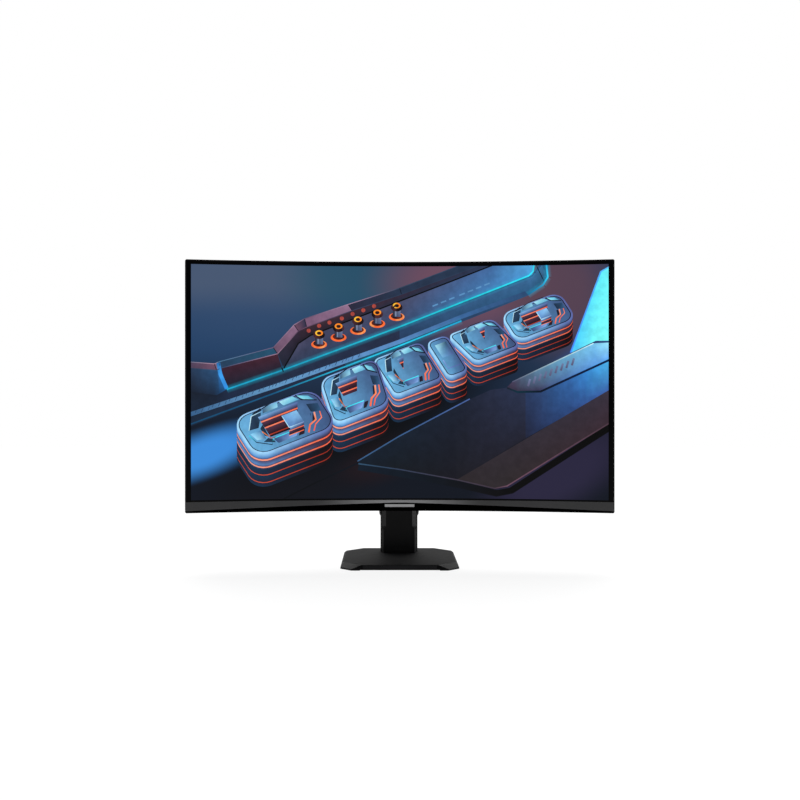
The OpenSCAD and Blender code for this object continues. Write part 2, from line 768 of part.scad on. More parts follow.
// A flat cable: from the panel's driver board back and up to the main board's outer edge.
module panel_ribbon() color([0.85, 0.85, 0.82])
    at_length(ribbon_len)
        translate([0, curve_r, 0]) {
            t = 0.4;
            d0 = source_d + 1.1;
            d1 = source_d + 6;
            d2 = curve_r_depth(board_back + 4.5, ribbon_len);
            z = board_z0 - 2;
            block([-4, d0, source_z + 12], [4, d1, source_z + 12 + t]);
            block([-4, d1 - t, source_z + 12], [4, d1, z + t]);
            block([-4, d1 - t, z], [4, d2, z + t]);
            block([-4, d2 - t, z], [4, d2, board_z0 + 9]);
        }

ribbon_len = 158;

// Depth, measured square to the screen at a length along it, of a plane at y.
function curve_r_depth(y, length) = (y - screen_y + curve_r * (1 - cos(deg_of(length)))) / cos(deg_of(length));

module backlight_lead() color([0.75, 0.15, 0.12])
    wire([[-112, board_back + 3, board_z0 + 98], [-112, board_back + 3, board_z0 + 108],
          [-130, board_back - 2, board_z0 + 116], [-176, y_at(slab_depth - cover_wall - 2.4, 180), board_z0 + 112],
          [-184, y_at(chassis_back + 3, 184), board_z0 + 40], [-200, y_at(chassis_back + 2, 200), head_bottom + 44],
          [-232, y_at(chassis_back + 2, 232), head_bottom + 22],
          [-250, y_at(chassis_back + 2, 250), head_bottom + 14]], 0.9, side_on = [0, 1, 0]);

module joystick_lead() color([0.1, 0.1, 0.1])
    wire([[150, board_back + 2, board_z0 + 90], [160, board_back + 2, board_z0 + 110],
          [176, y_at(slab_depth - cover_wall - 2.4, 180), board_z0 + 112], [188, y_at(chassis_back + 3, 188), board_z0 + 30],
          [200, y_at(chassis_back + 2.4, 200), stick_z + 30], [216, y_at(chassis_back + 2.55, 216), stick_z + 9]], 0.9,
         side_on = [0, 1, 0]);

// ---- joystick

// Local frame of the joystick: +Z is outwards from the rear cover, measured from the glass.
module at_stick() at_length(stick_len) translate([0, curve_r, stick_z]) rotate([-90, 0, 0]) children();

stick_board_d = chassis_back + 0.4;
stick_box_d = stick_board_d + 1.2;
stick_box_t = 5.6;

module joystick_board() color([0.05, 0.25, 0.14])
    at_stick() translate([-12, -9, stick_board_d]) cube([24, 18, 1.2]);

module joystick_housing() color([0.15, 0.15, 0.16])
    at_stick()
        difference() {
            translate([-6.5, -6.5, stick_box_d]) cube([13, 13, stick_box_t]);
            translate([0, 0, stick_box_d + 0.3]) cylinder(r = 5.4, h = 20, $fn = round_fn);
        }

module joystick_plunger() color([0.8, 0.8, 0.78])
    at_stick() translate([0, 0, stick_box_d + 0.9]) cylinder(r = 4.9, h = 0.6, $fn = round_fn);

// The ring turns about the local Y axis and carries the stem, which turns about the local X axis.
module joystick_gimbal() color([0.85, 0.83, 0.75])
    at_stick()
        translate([0, 0, stick_pivot]) {
            difference() {
                translate([0, 0, -0.8]) cylinder(r = 4.4, h = 1.6, $fn = round_fn);
                translate([0, 0, -2]) cylinder(r = 2.9, h = 4, $fn = round_fn);
            }
            for (turn = [90, -90]) rotate([turn, 0, 0]) translate([0, 0, 4.2]) cylinder(r = 0.7, h = 0.9, $fn = round_fn);
        }

module joystick_cap() color([0.05, 0.05, 0.055])
    at_stick()
        translate([0, 0, stick_pivot]) {
            rotate_extrude($fn = 72)
                polygon([[0, -0.6], [1.7, -0.6], [1.7, 6.2], [5.2, 7.4], [6, 8.1], [6, 9.9], [5.2, 10.8], [3.6, 11.3],
                         [0, 11.3]]);
            for (turn = [90, -90]) rotate([0, turn, 0]) translate([0, 0, 1.5]) cylinder(r = 0.5, h = 1.1, $fn = round_fn);
        }

// ---- tilt bracket and hinge

module lug_outline() {
    translate([pivot_y, mount_z]) circle(r = lug_r, $fn = round_fn);
    polygon([[plate_back - 0.5, mount_z - 26], [pivot_y - 16, mount_z - 9], [pivot_y, mount_z - lug_r + 2],
             [pivot_y, mount_z + lug_r - 2], [pivot_y - 16, mount_z + 9], [plate_back - 0.5, mount_z + 26]]);
}

module tilt_bracket() color([0.25, 0.25, 0.26])
    difference() {
        union() {
            block([-plate_half_w, plate_front, mount_z - plate_half_h], [plate_half_w, plate_back, mount_z + plate_half_h]);
            both_sides() {
                side_view(lug_in, lug_in + lug_t) lug_outline();
                block([16, vesa_plate_front - 2.6, mount_z + 30], [24, plate_front + 1, mount_z + 34]);
                block([16, vesa_plate_front - 2.6, mount_z + 30], [24, vesa_plate_front - 0.4, mount_z + 37]);
            }
            block([-9, latch_y - 2, catch_z], [9, plate_front + 1, catch_z + catch_t]);
        }
        bar_x(shaft_r + 0.02, -40, 40, pivot_y, mount_z);
        block([-5.5, latch_y - 0.7, catch_z - 1], [5.5, latch_y + latch_t + 0.5, catch_z + catch_t + 1]);
    }

module mount_cover() color([0.07, 0.07, 0.075])
    difference() {
        hull() {
            block([-recess_w / 2 + 0.5, plate_back + 0.3, mount_z - recess_h / 2 + 0.5],
                  [recess_w / 2 - 0.5, housing_back_y, mount_z + recess_h / 2 - 0.5]);
            block([-recess_w / 2 + 3.5, plate_back + 0.3, mount_z - recess_h / 2 + 3.5],
                  [recess_w / 2 - 3.5, housing_back_y + 2, mount_z + recess_h / 2 - 3.5]);
        }
        both_sides() block([lug_in - 0.5, plate_back, mount_z - 28], [lug_in + lug_t + 0.5, housing_back_y + 5, mount_z + 28]);
    }

module tilt_shaft() color([0.75, 0.76, 0.78]) bar_x(shaft_r, -shaft_half, shaft_half, pivot_y, mount_z);

module friction_washers() color([0.6, 0.5, 0.3])
    both_sides()
        difference() {
            bar_x(9, lug_in + lug_t + 0.05, ear_in - 0.05, pivot_y, mount_z);
            bar_x(shaft_r + 0.02, 0, 60, pivot_y, mount_z);
        }

module disc_springs() color([0.5, 0.5, 0.52])
    both_sides()
        for (i = [0:1])
            translate([ear_in + ear_t + 0.05 + i * (spring_t + 0.05), pivot_y, mount_z]) rotate([0, 90, 0])
                rotate_extrude($fn = round_fn)
                    polygon([[shaft_r + 0.02, 0.35], [8.5, 0], [8.5, spring_t - 0.35], [shaft_r + 0.02, spring_t]]);

module shaft_nuts() color([0.7, 0.7, 0.72])
    both_sides()
        difference() {
            translate([nut_in, pivot_y, mount_z]) rotate([0, 90, 0]) cylinder(r = 8, h = nut_t, $fn = 6);
            bar_x(shaft_r + 0.02, 0, 60, pivot_y, mount_z);
        }

module hinge_yoke() color([0.3, 0.3, 0.31])
    difference() {
        union() {
            both_sides()
                side_view(ear_in, ear_in + ear_t) {
                    translate([pivot_y, mount_z]) circle(r = ear_r, $fn = round_fn);
                    translate([pivot_y - ear_r, yoke_z]) square([2 * ear_r, mount_z - yoke_z]);
                }
            block([-ear_in - ear_t, pivot_y - ear_r, yoke_z], [ear_in + ear_t, pivot_y + ear_r, yoke_z + 6]);
        }
        bar_x(shaft_r + run_gap, -60, 60, pivot_y, mount_z);
    }

// ---- quick release

module release_button() color([0.12, 0.12, 0.125]) {
    block([-button_w / 2, housing_back_y - button_in, button_z - button_h / 2],
          [button_w / 2, housing_back_y + 0.8, button_z + button_h / 2]);
    block([-button_w / 2 - 1.2, housing_back_y - button_in, button_z - button_h / 2 - 1.2],
          [button_w / 2 + 1.2, housing_back_y - cover_wall - 0.3, button_z + button_h / 2 + 1.2]);
    // two prongs with sloping ends push the latch down
    both_sides()
        side_view(prong_in, prong_in + prong_w)
            polygon([[housing_back_y - button_in + 0.1, button_z - 4], [latch_y + 6, button_z - 4], [latch_y + 2, button_z],
                     [latch_y + 2, button_z + 3], [housing_back_y - button_in + 0.1, button_z + 3]]);
}

module release_latch() color([0.7, 0.71, 0.72]) {
    y = latch_y;
    block([-12, y, button_z - 9], [12, y + latch_t, button_z - 4.5]);
    block([-4.5, y, button_z - 5], [4.5, y + latch_t, catch_z + catch_t + 0.8]);
    both_sides()
        side_view(prong_in, prong_in + prong_w)
            polygon([[y, button_z - 9], [y + latch_t + 1.4, button_z - 9], [y + latch_t + 1.4, button_z - 3.8],
                     [y + 1.6, button_z - 0.8 + 0.4], [y, button_z - 0.4]]);
}

module release_spring() color([0.8, 0.8, 0.82]) {
    turns = 5;
    steps = 14;
    wire_r = 0.35;
    z0 = button_z - 20 + wire_r;
    z1 = button_z - 9 - wire_r;
    wire([for (i = [0:turns * steps])
          [spring_r * cos(360 * i / steps), latch_y + latch_t / 2 + spring_r * sin(360 * i / steps) - 0.2,
           z0 + (z1 - z0) * i / (turns * steps)]], wire_r);
}

// ---- neck

// Plan of the neck's rear half: a chamfered block behind the split.
module rear_plan(half, y0, inset) {
    back = neck_back - inset;
    polygon([[-half + inset, y0], [half - inset, y0], [half - inset, back - neck_rear_chamfer],
             [half - inset - neck_rear_chamfer, back], [-half + inset + neck_rear_chamfer, back],
             [-half + inset, back - neck_rear_chamfer]]);
}

module plan_slice(z, half, y0, inset) translate([0, 0, z]) linear_extrude(0.02) rear_plan(half, y0, inset);

// Half width of the rear cover's wings at a height.
wing_half = neck_rear_half + wing_step;

module rear_form(inset, y0) {
    translate([0, 0, base_h - (inset > 0 ? 1 : 0)]) linear_extrude(wing_z - base_h + (inset > 0 ? 1 : 0))
        rear_plan(neck_rear_half, y0, inset);
    hull() {
        plan_slice(wing_z, neck_rear_half, y0, inset);
        plan_slice(wing_z + wing_rise, wing_half, y0, inset);
    }
    hull() {
        plan_slice(wing_z + wing_rise, wing_half, y0, inset);
        plan_slice(hood_z + (inset > 0 ? 1 : 0), hood_half, y0, inset);
    }
}

module neck_rear_cover() color([0.14, 0.14, 0.145])
    difference() {
        rear_form(0, split_y + 0.1);
        rear_form(neck_wall, split_y - 1);
        // the cable clip's two pegs
        for (z = [clip_z - 5, clip_z + 5]) bar_y(2.1, neck_back - 5, neck_back + 1, 0, z);
    }

clip_z = 104;
clip_w = 34;
clip_d = 17;

module cable_clip() color([0.1, 0.1, 0.105]) {
    y = neck_back + 0.1;
    difference() {
        block([-clip_w / 2, y, clip_z - 8], [clip_w / 2, y + clip_d, clip_z + 8]);
        block([-clip_w / 2 + 2, y + 2, clip_z - 9], [clip_w / 2 - 2, y + clip_d - 2, clip_z + 9]);
        block([-4.5, y + 5, clip_z - 9], [4.5, y + clip_d + 1, clip_z + 9]);
    }
    for (z = [clip_z - 5, clip_z + 5]) bar_y(2, neck_back - neck_wall, y + 1, 0, z);
}

// The front cover's plan, with its two front edges cut off by a chamfer.
module front_plan(chamfer, inset) {
    half = neck_w / 2 - inset;
    front = neck_y + inset;
    polygon([[-half, split_y + (inset > 0 ? 1 : 0)], [-half, front + chamfer], [-half + chamfer, front],
             [half - chamfer, front], [half, front + chamfer], [half, split_y + (inset > 0 ? 1 : 0)]]);
}

// Above the ledges the chamfers are wide: the cut's lower end slopes down to the neck's side.
module ledge_wedge() {
    a = neck_face_w / 2;
    b = neck_w / 2 + 2;
    y = neck_y;
    intersection() {
        linear_extrude(yoke_z + 20) polygon([[a - 1, y - 1], [b, y - 1], [b, y + b - a]]);
        translate([a, y, ledge_z]) rotate([0, 59.4, -37.3]) translate([-100, -100, 0]) cube([200, 200, 300]);
    }
}

module neck_front_cover() color([0.055, 0.055, 0.06])
    difference() {
        translate([0, 0, base_h]) linear_extrude(yoke_z - base_h) front_plan(neck_low_chamfer, 0);
        translate([0, 0, base_h - 1]) linear_extrude(yoke_z - base_h + 2) front_plan(neck_chamfer, neck_wall);
        both_sides() ledge_wedge();
    }

module hood_plan(y0, inset) rear_plan(hood_half, y0, inset);

module hinge_cover() color([0.13, 0.13, 0.135])
    difference() {
        union() {
            translate([0, 0, hood_z + 0.1]) linear_extrude(yoke_z - hood_z + 1) hood_plan(split_y + 0.1, 0);
            translate([0, 0, yoke_z + 0.2]) linear_extrude(hood_top - hood_taper - yoke_z - 0.2) hood_plan(neck_y + 0.5, 0);
            hull() {
                translate([0, 0, hood_top - hood_taper - eps]) linear_extrude(eps) hood_plan(neck_y + 0.5, 0);
                block([-hood_half + 8, neck_y + 0.5, hood_top - eps], [hood_half - 8, neck_back - 12, hood_top]);
            }
        }
        translate([0, 0, hood_z - 1]) linear_extrude(yoke_z - hood_z + 2) hood_plan(split_y - 1, neck_wall);
        translate([0, 0, yoke_z + 0.2 - (yoke_z - hood_z) / 2])
            linear_extrude(hood_top - hood_taper - yoke_z - 0.2 + (yoke_z - hood_z) / 2)
                hood_plan(split_y - 0.5, neck_wall);
        // the front of the hood is open for the lugs
        block([-nut_in - nut_t - 3, neck_y - 5, yoke_z - 0.5], [nut_in + nut_t + 3, split_y, hood_top - 3]);
        block([-nut_in - nut_t - 2, neck_y + 3, yoke_z], [nut_in + nut_t + 2, neck_back - 12.5, hood_top - 3]);
    }

column_half = 18;
column_wall = 2;

module neck_column() color([0.6, 0.61, 0.63]) {
    y0 = screw_y - 10;
    y1 = screw_y + 10;
    difference() {
        block([-column_half, y0, base_h + 1], [column_half, y1, yoke_z - 0.05]);
        block([-column_half + column_wall, y0 + column_wall, base_h], [column_half - column_wall, y1 - column_wall,
                                                                     yoke_z - 5]);
    }
}

module neck_foot() color([0.45, 0.46, 0.47]) {
    y0 = screw_y - 10;
    y1 = screw_y + 10;
    difference() {
        union() {
            block([-column_half - 1.4, y0 - 0.4, plate_z + base_plate_t + 0.05], [column_half + 1.4, y1 + 0.4, base_h + 0.9]);
            block([-column_half + column_wall + 0.1, y0 + column_wall + 0.1, base_h],
                  [column_half - column_wall - 0.1, y1 - column_wall - 0.1, base_h + 36]);
        }
        bar_z(screw_r + run_gap, plate_z - 1, plate_z + 26, 0, screw_y);
    }
}

// ---- base

function octagon(w, d, c) = [[-w / 2 + c, -d / 2], [w / 2 - c, -d / 2], [w / 2, -d / 2 + c], [w / 2, d / 2 - c],
                             [w / 2 - c, d / 2], [-w / 2 + c, d / 2], [-w / 2, d / 2 - c], [-w / 2, -d / 2 + c]];

module base_slice(inset, z, corner) translate([0, 0, z]) linear_extrude(0.02)
    polygon(octagon(base_w - 2 * inset, base_d - 2 * inset, corner));

module base_form(inset, z0, z1)
    union() {
        translate([0, 0, z0]) linear_extrude(base_lip - z0 + eps)
            polygon(octagon(base_w - 2 * inset, base_d - 2 * inset, base_corner));
        hull() {
            base_slice(inset, base_lip, base_corner);
            base_slice(inset + base_bevel, z1 - 0.02, base_top_corner);
        }
    }

bevel_angle = atan(base_bevel / (base_h - base_lip));
bevel_len = norm([base_bevel, base_h - base_lip]);

// Local frame on the front bevel: +Z runs up the bevel, and -Y is outwards.
module on_bevel() translate([0, -base_d / 2, base_lip]) rotate([-bevel_angle, 0, 0]) children();

module base_cover() color([0.17, 0.17, 0.175])
    difference() {
        base_form(0, base_skirt, base_h);
        base_form(base_wall, base_skirt - 1, base_h - base_wall);
        on_bevel() block([-insert_w / 2 - 0.15, -1, insert_side - 0.15], [insert_w / 2 + 0.15, insert_t + 0.05,
                                                                        bevel_len - insert_side + 0.15]);
        // the middle of the front edge is raised, as a finger gap
        block([-base_w / 2 + 28, -base_d / 2 - 1, 0], [base_w / 2 - 28, -base_d / 2 + 4, base_skirt + 0.7]);
        block([-column_half - 1.8, screw_y - 10.8, plate_z], [column_half + 1.8, screw_y + 10.8, base_h + 1]);
    }

module base_insert() color([0.09, 0.09, 0.095])
    on_bevel() {
        block([-insert_w / 2, 0, insert_side], [insert_w / 2, insert_t, bevel_len - insert_side]);
        both_sides()
            for (i = [0:rib_count - 1])
                front_view(-0.4, eps)
                    polygon([[rib_start + i * rib_pitch + 3.6, insert_side + 0.5], [rib_start + i * rib_pitch + 4.9, insert_side + 0.5],
                             [rib_start + i * rib_pitch + 1.3, bevel_len - insert_side - 0.5],
                             [rib_start + i * rib_pitch, bevel_len - insert_side - 0.5]]);
    }

module base_plate() color([0.5, 0.51, 0.52])
    difference() {
        translate([0, 0, plate_z]) linear_extrude(base_plate_t)
            polygon(octagon(base_w - 2 * base_bevel - 5, base_d - 2 * base_bevel - 5, base_top_corner));
        bar_z(screw_r + 0.5, 0, base_h, 0, screw_y);
    }

module rubber_feet() color([0.04, 0.04, 0.04]) {
    for (x = [-1, 1], y = [-1, 1])
        translate([x * foot_x, y * foot_y, 0])
            rotate_extrude($fn = round_fn)
                polygon([[0, 0], [foot_r - 0.6, 0], [foot_r, 0.6], [foot_r, plate_z - 0.02], [0, plate_z - 0.02]]);
}

module base_screw() color([0.7, 0.7, 0.72])
    difference() {
        union() {
            bar_z(9, 0.9, plate_z - 0.1, 0, screw_y);
            bar_z(screw_r, plate_z - 0.2, plate_z + 22, 0, screw_y);
        }
        block([-7, screw_y - 0.8, 0], [7, screw_y + 0.8, 2]);
    }

front_frame();
lcd_cell();
optical_films();
light_guide();
reflector_sheet();
led_strip();
led_emitters();
panel_chassis();
chin_cover();
chin_trim();
chin_badge();
power_light();
rear_cover();
cover_screws();
vesa_bracket();
vesa_inserts();
board_tray();
main_board();
main_board_parts();
heat_sink();
power_board();
power_board_parts();
board_screws();
hdmi_ports();
displayport_port();
audio_jack();
power_inlet();
inlet_pins();
source_board();
driver_flexes();
panel_ribbon();
backlight_lead();
joystick_lead();
joystick_board();
joystick_housing();
joystick_plunger();
joystick_gimbal();
joystick_cap();
tilt_bracket();
mount_cover();
tilt_shaft();
friction_washers();
disc_springs();
shaft_nuts();
release_button();
release_latch();
release_spring();
hinge_yoke();
hinge_cover();
neck_column();
neck_foot();
neck_front_cover();
neck_rear_cover();
cable_clip();
base_cover();
base_insert();
base_plate();
rubber_feet();
base_screw();
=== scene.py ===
import bpy, bmesh, math
from mathutils import Matrix, Vector


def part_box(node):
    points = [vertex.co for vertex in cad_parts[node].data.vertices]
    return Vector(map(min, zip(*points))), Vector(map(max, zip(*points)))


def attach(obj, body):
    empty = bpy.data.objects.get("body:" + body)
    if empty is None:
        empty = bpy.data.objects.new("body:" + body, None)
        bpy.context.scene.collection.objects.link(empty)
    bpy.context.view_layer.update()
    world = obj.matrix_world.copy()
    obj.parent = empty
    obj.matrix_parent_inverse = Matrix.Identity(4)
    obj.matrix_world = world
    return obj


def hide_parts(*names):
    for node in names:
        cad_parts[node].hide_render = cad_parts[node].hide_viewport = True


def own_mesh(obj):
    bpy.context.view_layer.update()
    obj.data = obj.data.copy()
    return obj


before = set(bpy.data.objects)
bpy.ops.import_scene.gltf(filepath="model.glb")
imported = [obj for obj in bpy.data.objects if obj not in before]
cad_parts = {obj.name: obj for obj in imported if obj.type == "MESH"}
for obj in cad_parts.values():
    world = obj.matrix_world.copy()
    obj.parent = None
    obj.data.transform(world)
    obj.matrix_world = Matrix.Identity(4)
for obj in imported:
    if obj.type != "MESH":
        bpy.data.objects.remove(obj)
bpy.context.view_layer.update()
scene = bpy.context.scene
scene.view_settings.view_transform = "Standard"
print("frame loaded:", len(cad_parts), "nodes")

# camera
cameraPlan = {"place": (-0.0162, -1.5485, 0.2544), "lens": 46.877, "shiftX": 0.0145, "shiftY": -0.0125}
cameraData = bpy.data.cameras.new("camera")
cameraData.lens = cameraPlan["lens"]
cameraData.sensor_width = 36
cameraData.shift_x = cameraPlan["shiftX"]
cameraData.shift_y = cameraPlan["shiftY"]
camera = bpy.data.objects.new("camera", cameraData)
camera.location = cameraPlan["place"]
camera.rotation_euler = (math.radians(90), 0, 0)
scene.collection.objects.link(camera)
scene.camera = camera


def hexColour(text, alpha=1.0):  # a screen colour such as "3e5570", as linear light
    parts = [int(text[i:i + 2], 16) / 255 for i in (0, 2, 4)]
    return tuple(c / 12.92 if c <= 0.04045 else ((c + 0.055) / 1.055) ** 2.4 for c in parts) + (alpha,)


def addPiece(bm, name, body, materials, smooth=True):
    mesh = bpy.data.meshes.new(name)
    bm.to_mesh(mesh)
    bm.free()
    for material in materials:
        mesh.materials.append(material)
    for face in mesh.polygons:
        face.use_smooth = smooth
    piece = bpy.data.objects.new(name, mesh)
    scene.collection.objects.link(piece)
    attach(piece, body)
    return piece


# node groups that the finishes share

def newGroup(name, inputs, outputs):
    group = bpy.data.node_groups.new(name, "ShaderNodeTree")
    for label, kind, value in inputs:
        made = group.interface.new_socket(name=label, in_out="INPUT", socket_type="NodeSocket" + kind)
        if value is not None:
            made.default_value = value
    for label, kind in outputs:
        group.interface.new_socket(name=label, in_out="OUTPUT", socket_type="NodeSocket" + kind)
    start = group.nodes.new("NodeGroupInput")
    end = group.nodes.new("NodeGroupOutput")
    return group, start, end


def mathNode(tree, operation, a, b=None, clamp=False):
    made = tree.nodes.new("ShaderNodeMath")
    made.operation = operation
    made.use_clamp = clamp
    for index, value in enumerate((a, b)):
        if value is None:
            continue
        if isinstance(value, (int, float)):
            made.inputs[index].default_value = value
        else:
            tree.links.new(value, made.inputs[index])
    return made.outputs[0]


def mixColour(tree, factor, a, b, blend="MIX"):
    made = tree.nodes.new("ShaderNodeMix")
    made.data_type = "RGBA"
    made.blend_type = blend
    for index, value in ((0, factor), (6, a), (7, b)):
        if isinstance(value, (int, float, tuple)):
            made.inputs[index].default_value = value
        else:
            tree.links.new(value, made.inputs[index])
    return made.outputs[2]


def vectorNode(tree, operation, a, b):
    made = tree.nodes.new("ShaderNodeVectorMath")
    made.operation = operation
    tree.links.new(a, made.inputs[0])
    tree.links.new(b, made.inputs["Scale" if operation == "SCALE" else 1])
    return made.outputs[0]


def noiseNode(tree, vector, scale, detail=3.0, rough=0.55):
    made = tree.nodes.new("ShaderNodeTexNoise")
    made.inputs["Detail"].default_value = detail
    made.inputs["Roughness"].default_value = rough
    tree.links.new(vector, made.inputs["Vector"])
    if isinstance(scale, (int, float)):
        made.inputs["Scale"].default_value = scale
    else:
        tree.links.new(scale, made.inputs["Scale"])
    return made.outputs["Fac"]


def rampNode(tree, factor, low, high, a=0.0, b=1.0):
    made = tree.nodes.new("ShaderNodeMapRange")
    made.interpolation_type = "SMOOTHSTEP"
    tree.links.new(factor, made.inputs["Value"])
    for label, value in (("From Min", low), ("From Max", high), ("To Min", a), ("To Max", b)):
        if isinstance(value, (int, float)):
            made.inputs[label].default_value = value
        else:
            tree.links.new(value, made.inputs[label])
    return made.outputs[0]


# fine spark-eroded texture of a moulded part, with faint flow marks and handling marks
mouldedGrain, start, end = newGroup(
    "mouldedGrain",
    [("Vector", "Vector", None), ("Colour", "Color", (0.05, 0.05, 0.05, 1)), ("Rough", "Float", 0.5),
     ("Grain Scale", "Float", 900.0), ("Mottle", "Float", 0.15), ("Marks", "Float", 0.06)],
    [("Colour", "Color"), ("Rough", "Float"), ("Height", "Float")])
grain = noiseNode(mouldedGrain, start.outputs["Vector"], start.outputs["Grain Scale"], 4, 0.65)
cloud = noiseNode(mouldedGrain, start.outputs["Vector"], 14, 4, 0.6)
marks = rampNode(mouldedGrain, noiseNode(mouldedGrain, start.outputs["Vector"], 46, 5, 0.7), 0.56, 0.72)
lift = mathNode(mouldedGrain, "MULTIPLY", mathNode(mouldedGrain, "SUBTRACT", cloud, 0.5),
                start.outputs["Mottle"])
speck = mathNode(mouldedGrain, "MULTIPLY", mathNode(mouldedGrain, "SUBTRACT", grain, 0.5),
                 start.outputs["Mottle"])
gain = mathNode(mouldedGrain, "ADD", 1.0, mathNode(mouldedGrain, "ADD", lift, speck))
mouldedGrain.links.new(vectorNode(mouldedGrain, "SCALE", start.outputs["Colour"], gain), end.inputs["Colour"])
roughUp = mathNode(mouldedGrain, "MULTIPLY", marks, start.outputs["Marks"])
roughUp = mathNode(mouldedGrain, "ADD", roughUp, mathNode(mouldedGrain, "MULTIPLY", lift, 0.5))
mouldedGrain.links.new(mathNode(mouldedGrain, "ADD", start.outputs["Rough"], roughUp), end.inputs["Rough"])
mouldedGrain.links.new(grain, end.inputs["Height"])

# fine lines drawn along one direction, for brushed and ground metal
brushedLines, start, end = newGroup(
    "brushedLines",
    [("Vector", "Vector", None), ("Colour", "Color", (0.6, 0.6, 0.6, 1)), ("Rough", "Float", 0.3),
     ("Along", "Vector", (1.0, 1.0, 60.0)), ("Streak", "Float", 0.25)],
    [("Colour", "Color"), ("Rough", "Float"), ("Height", "Float")])
stretched = vectorNode(brushedLines, "MULTIPLY", start.outputs["Vector"], start.outputs["Along"])
streak = noiseNode(brushedLines, stretched, 70, 5, 0.7)
tarnish = noiseNode(brushedLines, start.outputs["Vector"], 22, 4, 0.6)
centred = mathNode(brushedLines, "MULTIPLY", mathNode(brushedLines, "SUBTRACT", streak, 0.5),
                   start.outputs["Streak"])
cloudy = mathNode(brushedLines, "MULTIPLY", mathNode(brushedLines, "SUBTRACT", tarnish, 0.5),
                  start.outputs["Streak"])
gain = mathNode(brushedLines, "ADD", 1.0, mathNode(brushedLines, "ADD", centred, cloudy))
brushedLines.links.new(vectorNode(brushedLines, "SCALE", start.outputs["Colour"], gain), end.inputs["Colour"])
brushedLines.links.new(mathNode(brushedLines, "ADD", start.outputs["Rough"], centred), end.inputs["Rough"])
brushedLines.links.new(streak, end.inputs["Height"])

# crystals of a zinc coating
zincSpangle, start, end = newGroup(
    "zincSpangle",
    [("Vector", "Vector", None), ("Colour", "Color", (0.6, 0.6, 0.6, 1)), ("Rough", "Float", 0.35),
     ("Size", "Float", 120.0)],
    [("Colour", "Color"), ("Rough", "Float"), ("Height", "Float")])
cells = zincSpangle.nodes.new("ShaderNodeTexVoronoi")
zincSpangle.links.new(start.outputs["Vector"], cells.inputs["Vector"])
zincSpangle.links.new(start.outputs["Size"], cells.inputs["Scale"])
flake = zincSpangle.nodes.new("ShaderNodeSeparateColor")
zincSpangle.links.new(cells.outputs["Color"], flake.inputs[0])
dim = mathNode(zincSpangle, "MULTIPLY_ADD", flake.outputs[0], 0.3)
dim.node.inputs[2].default_value = 0.8
zincSpangle.links.new(vectorNode(zincSpangle, "SCALE", start.outputs["Colour"], dim), end.inputs["Colour"])
varied = mathNode(zincSpangle, "MULTIPLY", mathNode(zincSpangle, "SUBTRACT", flake.outputs[1], 0.5), 0.25)
zincSpangle.links.new(mathNode(zincSpangle, "ADD", start.outputs["Rough"], varied), end.inputs["Rough"])
zincSpangle.links.new(flake.outputs[2], end.inputs["Height"])

# copper tracks and pads that show through a solder mask
boardTracks, start, end = newGroup(
    "boardTracks",
    [("Vector", "Vector", None), ("Mask", "Color", (0.02, 0.14, 0.06, 1)),
     ("Track", "Color", (0.07, 0.3, 0.12, 1)), ("Pad", "Color", (0.75, 0.72, 0.62, 1))],
    [("Colour", "Color"), ("Rough", "Float"), ("Height", "Float")])
bricks = boardTracks.nodes.new("ShaderNodeTexBrick")
bricks.inputs["Scale"].default_value = 110
bricks.inputs["Mortar Size"].default_value = 0.03
bricks.inputs["Brick Width"].default_value = 0.9
bricks.inputs["Row Height"].default_value = 0.16
turned = boardTracks.nodes.new("ShaderNodeMapping")
turned.inputs["Rotation"].default_value = (math.radians(90), 0, 0)
boardTracks.links.new(start.outputs["Vector"], turned.inputs["Vector"])
boardTracks.links.new(turned.outputs[0], bricks.inputs["Vector"])
dots = boardTracks.nodes.new("ShaderNodeTexVoronoi")
dots.inputs["Scale"].default_value = 260
boardTracks.links.new(start.outputs["Vector"], dots.inputs["Vector"])
padMask = rampNode(boardTracks, dots.outputs["Distance"], 0.16, 0.12)
patches = rampNode(boardTracks, noiseNode(boardTracks, start.outputs["Vector"], 60, 2), 0.5, 0.56)
trackMask = mathNode(boardTracks, "MULTIPLY", bricks.outputs["Fac"], patches)
body = mixColour(boardTracks, trackMask, start.outputs["Mask"], start.outputs["Track"])
boardTracks.links.new(mixColour(boardTracks, padMask, body, start.outputs["Pad"]), end.inputs["Colour"])
boardTracks.links.new(rampNode(boardTracks, padMask, 0, 1, 0.45, 0.25), end.inputs["Rough"])
boardTracks.links.new(mathNode(boardTracks, "ADD", trackMask, padMask), end.inputs["Height"])
print("node groups built")


# finishes

def newMaterial(name):
    material = bpy.data.materials.new(name)
    material.use_nodes = True
    tree = material.node_tree
    shader = tree.nodes["Principled BSDF"]
    return material, tree, shader


def dressed(name, group, inputs, bump=0.0, reach=0.0002, **sockets):
    material, tree, shader = newMaterial(name)
    place = tree.nodes.new("ShaderNodeTexCoord")
    effect = tree.nodes.new("ShaderNodeGroup")
    effect.node_tree = group
    tree.links.new(place.outputs["Object"], effect.inputs["Vector"])
    for label, value in inputs.items():
        effect.inputs[label].default_value = value
    tree.links.new(effect.outputs["Colour"], shader.inputs["Base Color"])
    tree.links.new(effect.outputs["Rough"], shader.inputs["Roughness"])
    if bump:
        relief = tree.nodes.new("ShaderNodeBump")
        relief.inputs["Strength"].default_value = bump
        relief.inputs["Distance"].default_value = reach
        tree.links.new(effect.outputs["Height"], relief.inputs["Height"])
        tree.links.new(relief.outputs[0], shader.inputs["Normal"])
    for label, value in sockets.items():
        shader.inputs[label.replace("_", " ")].default_value = value
    return material


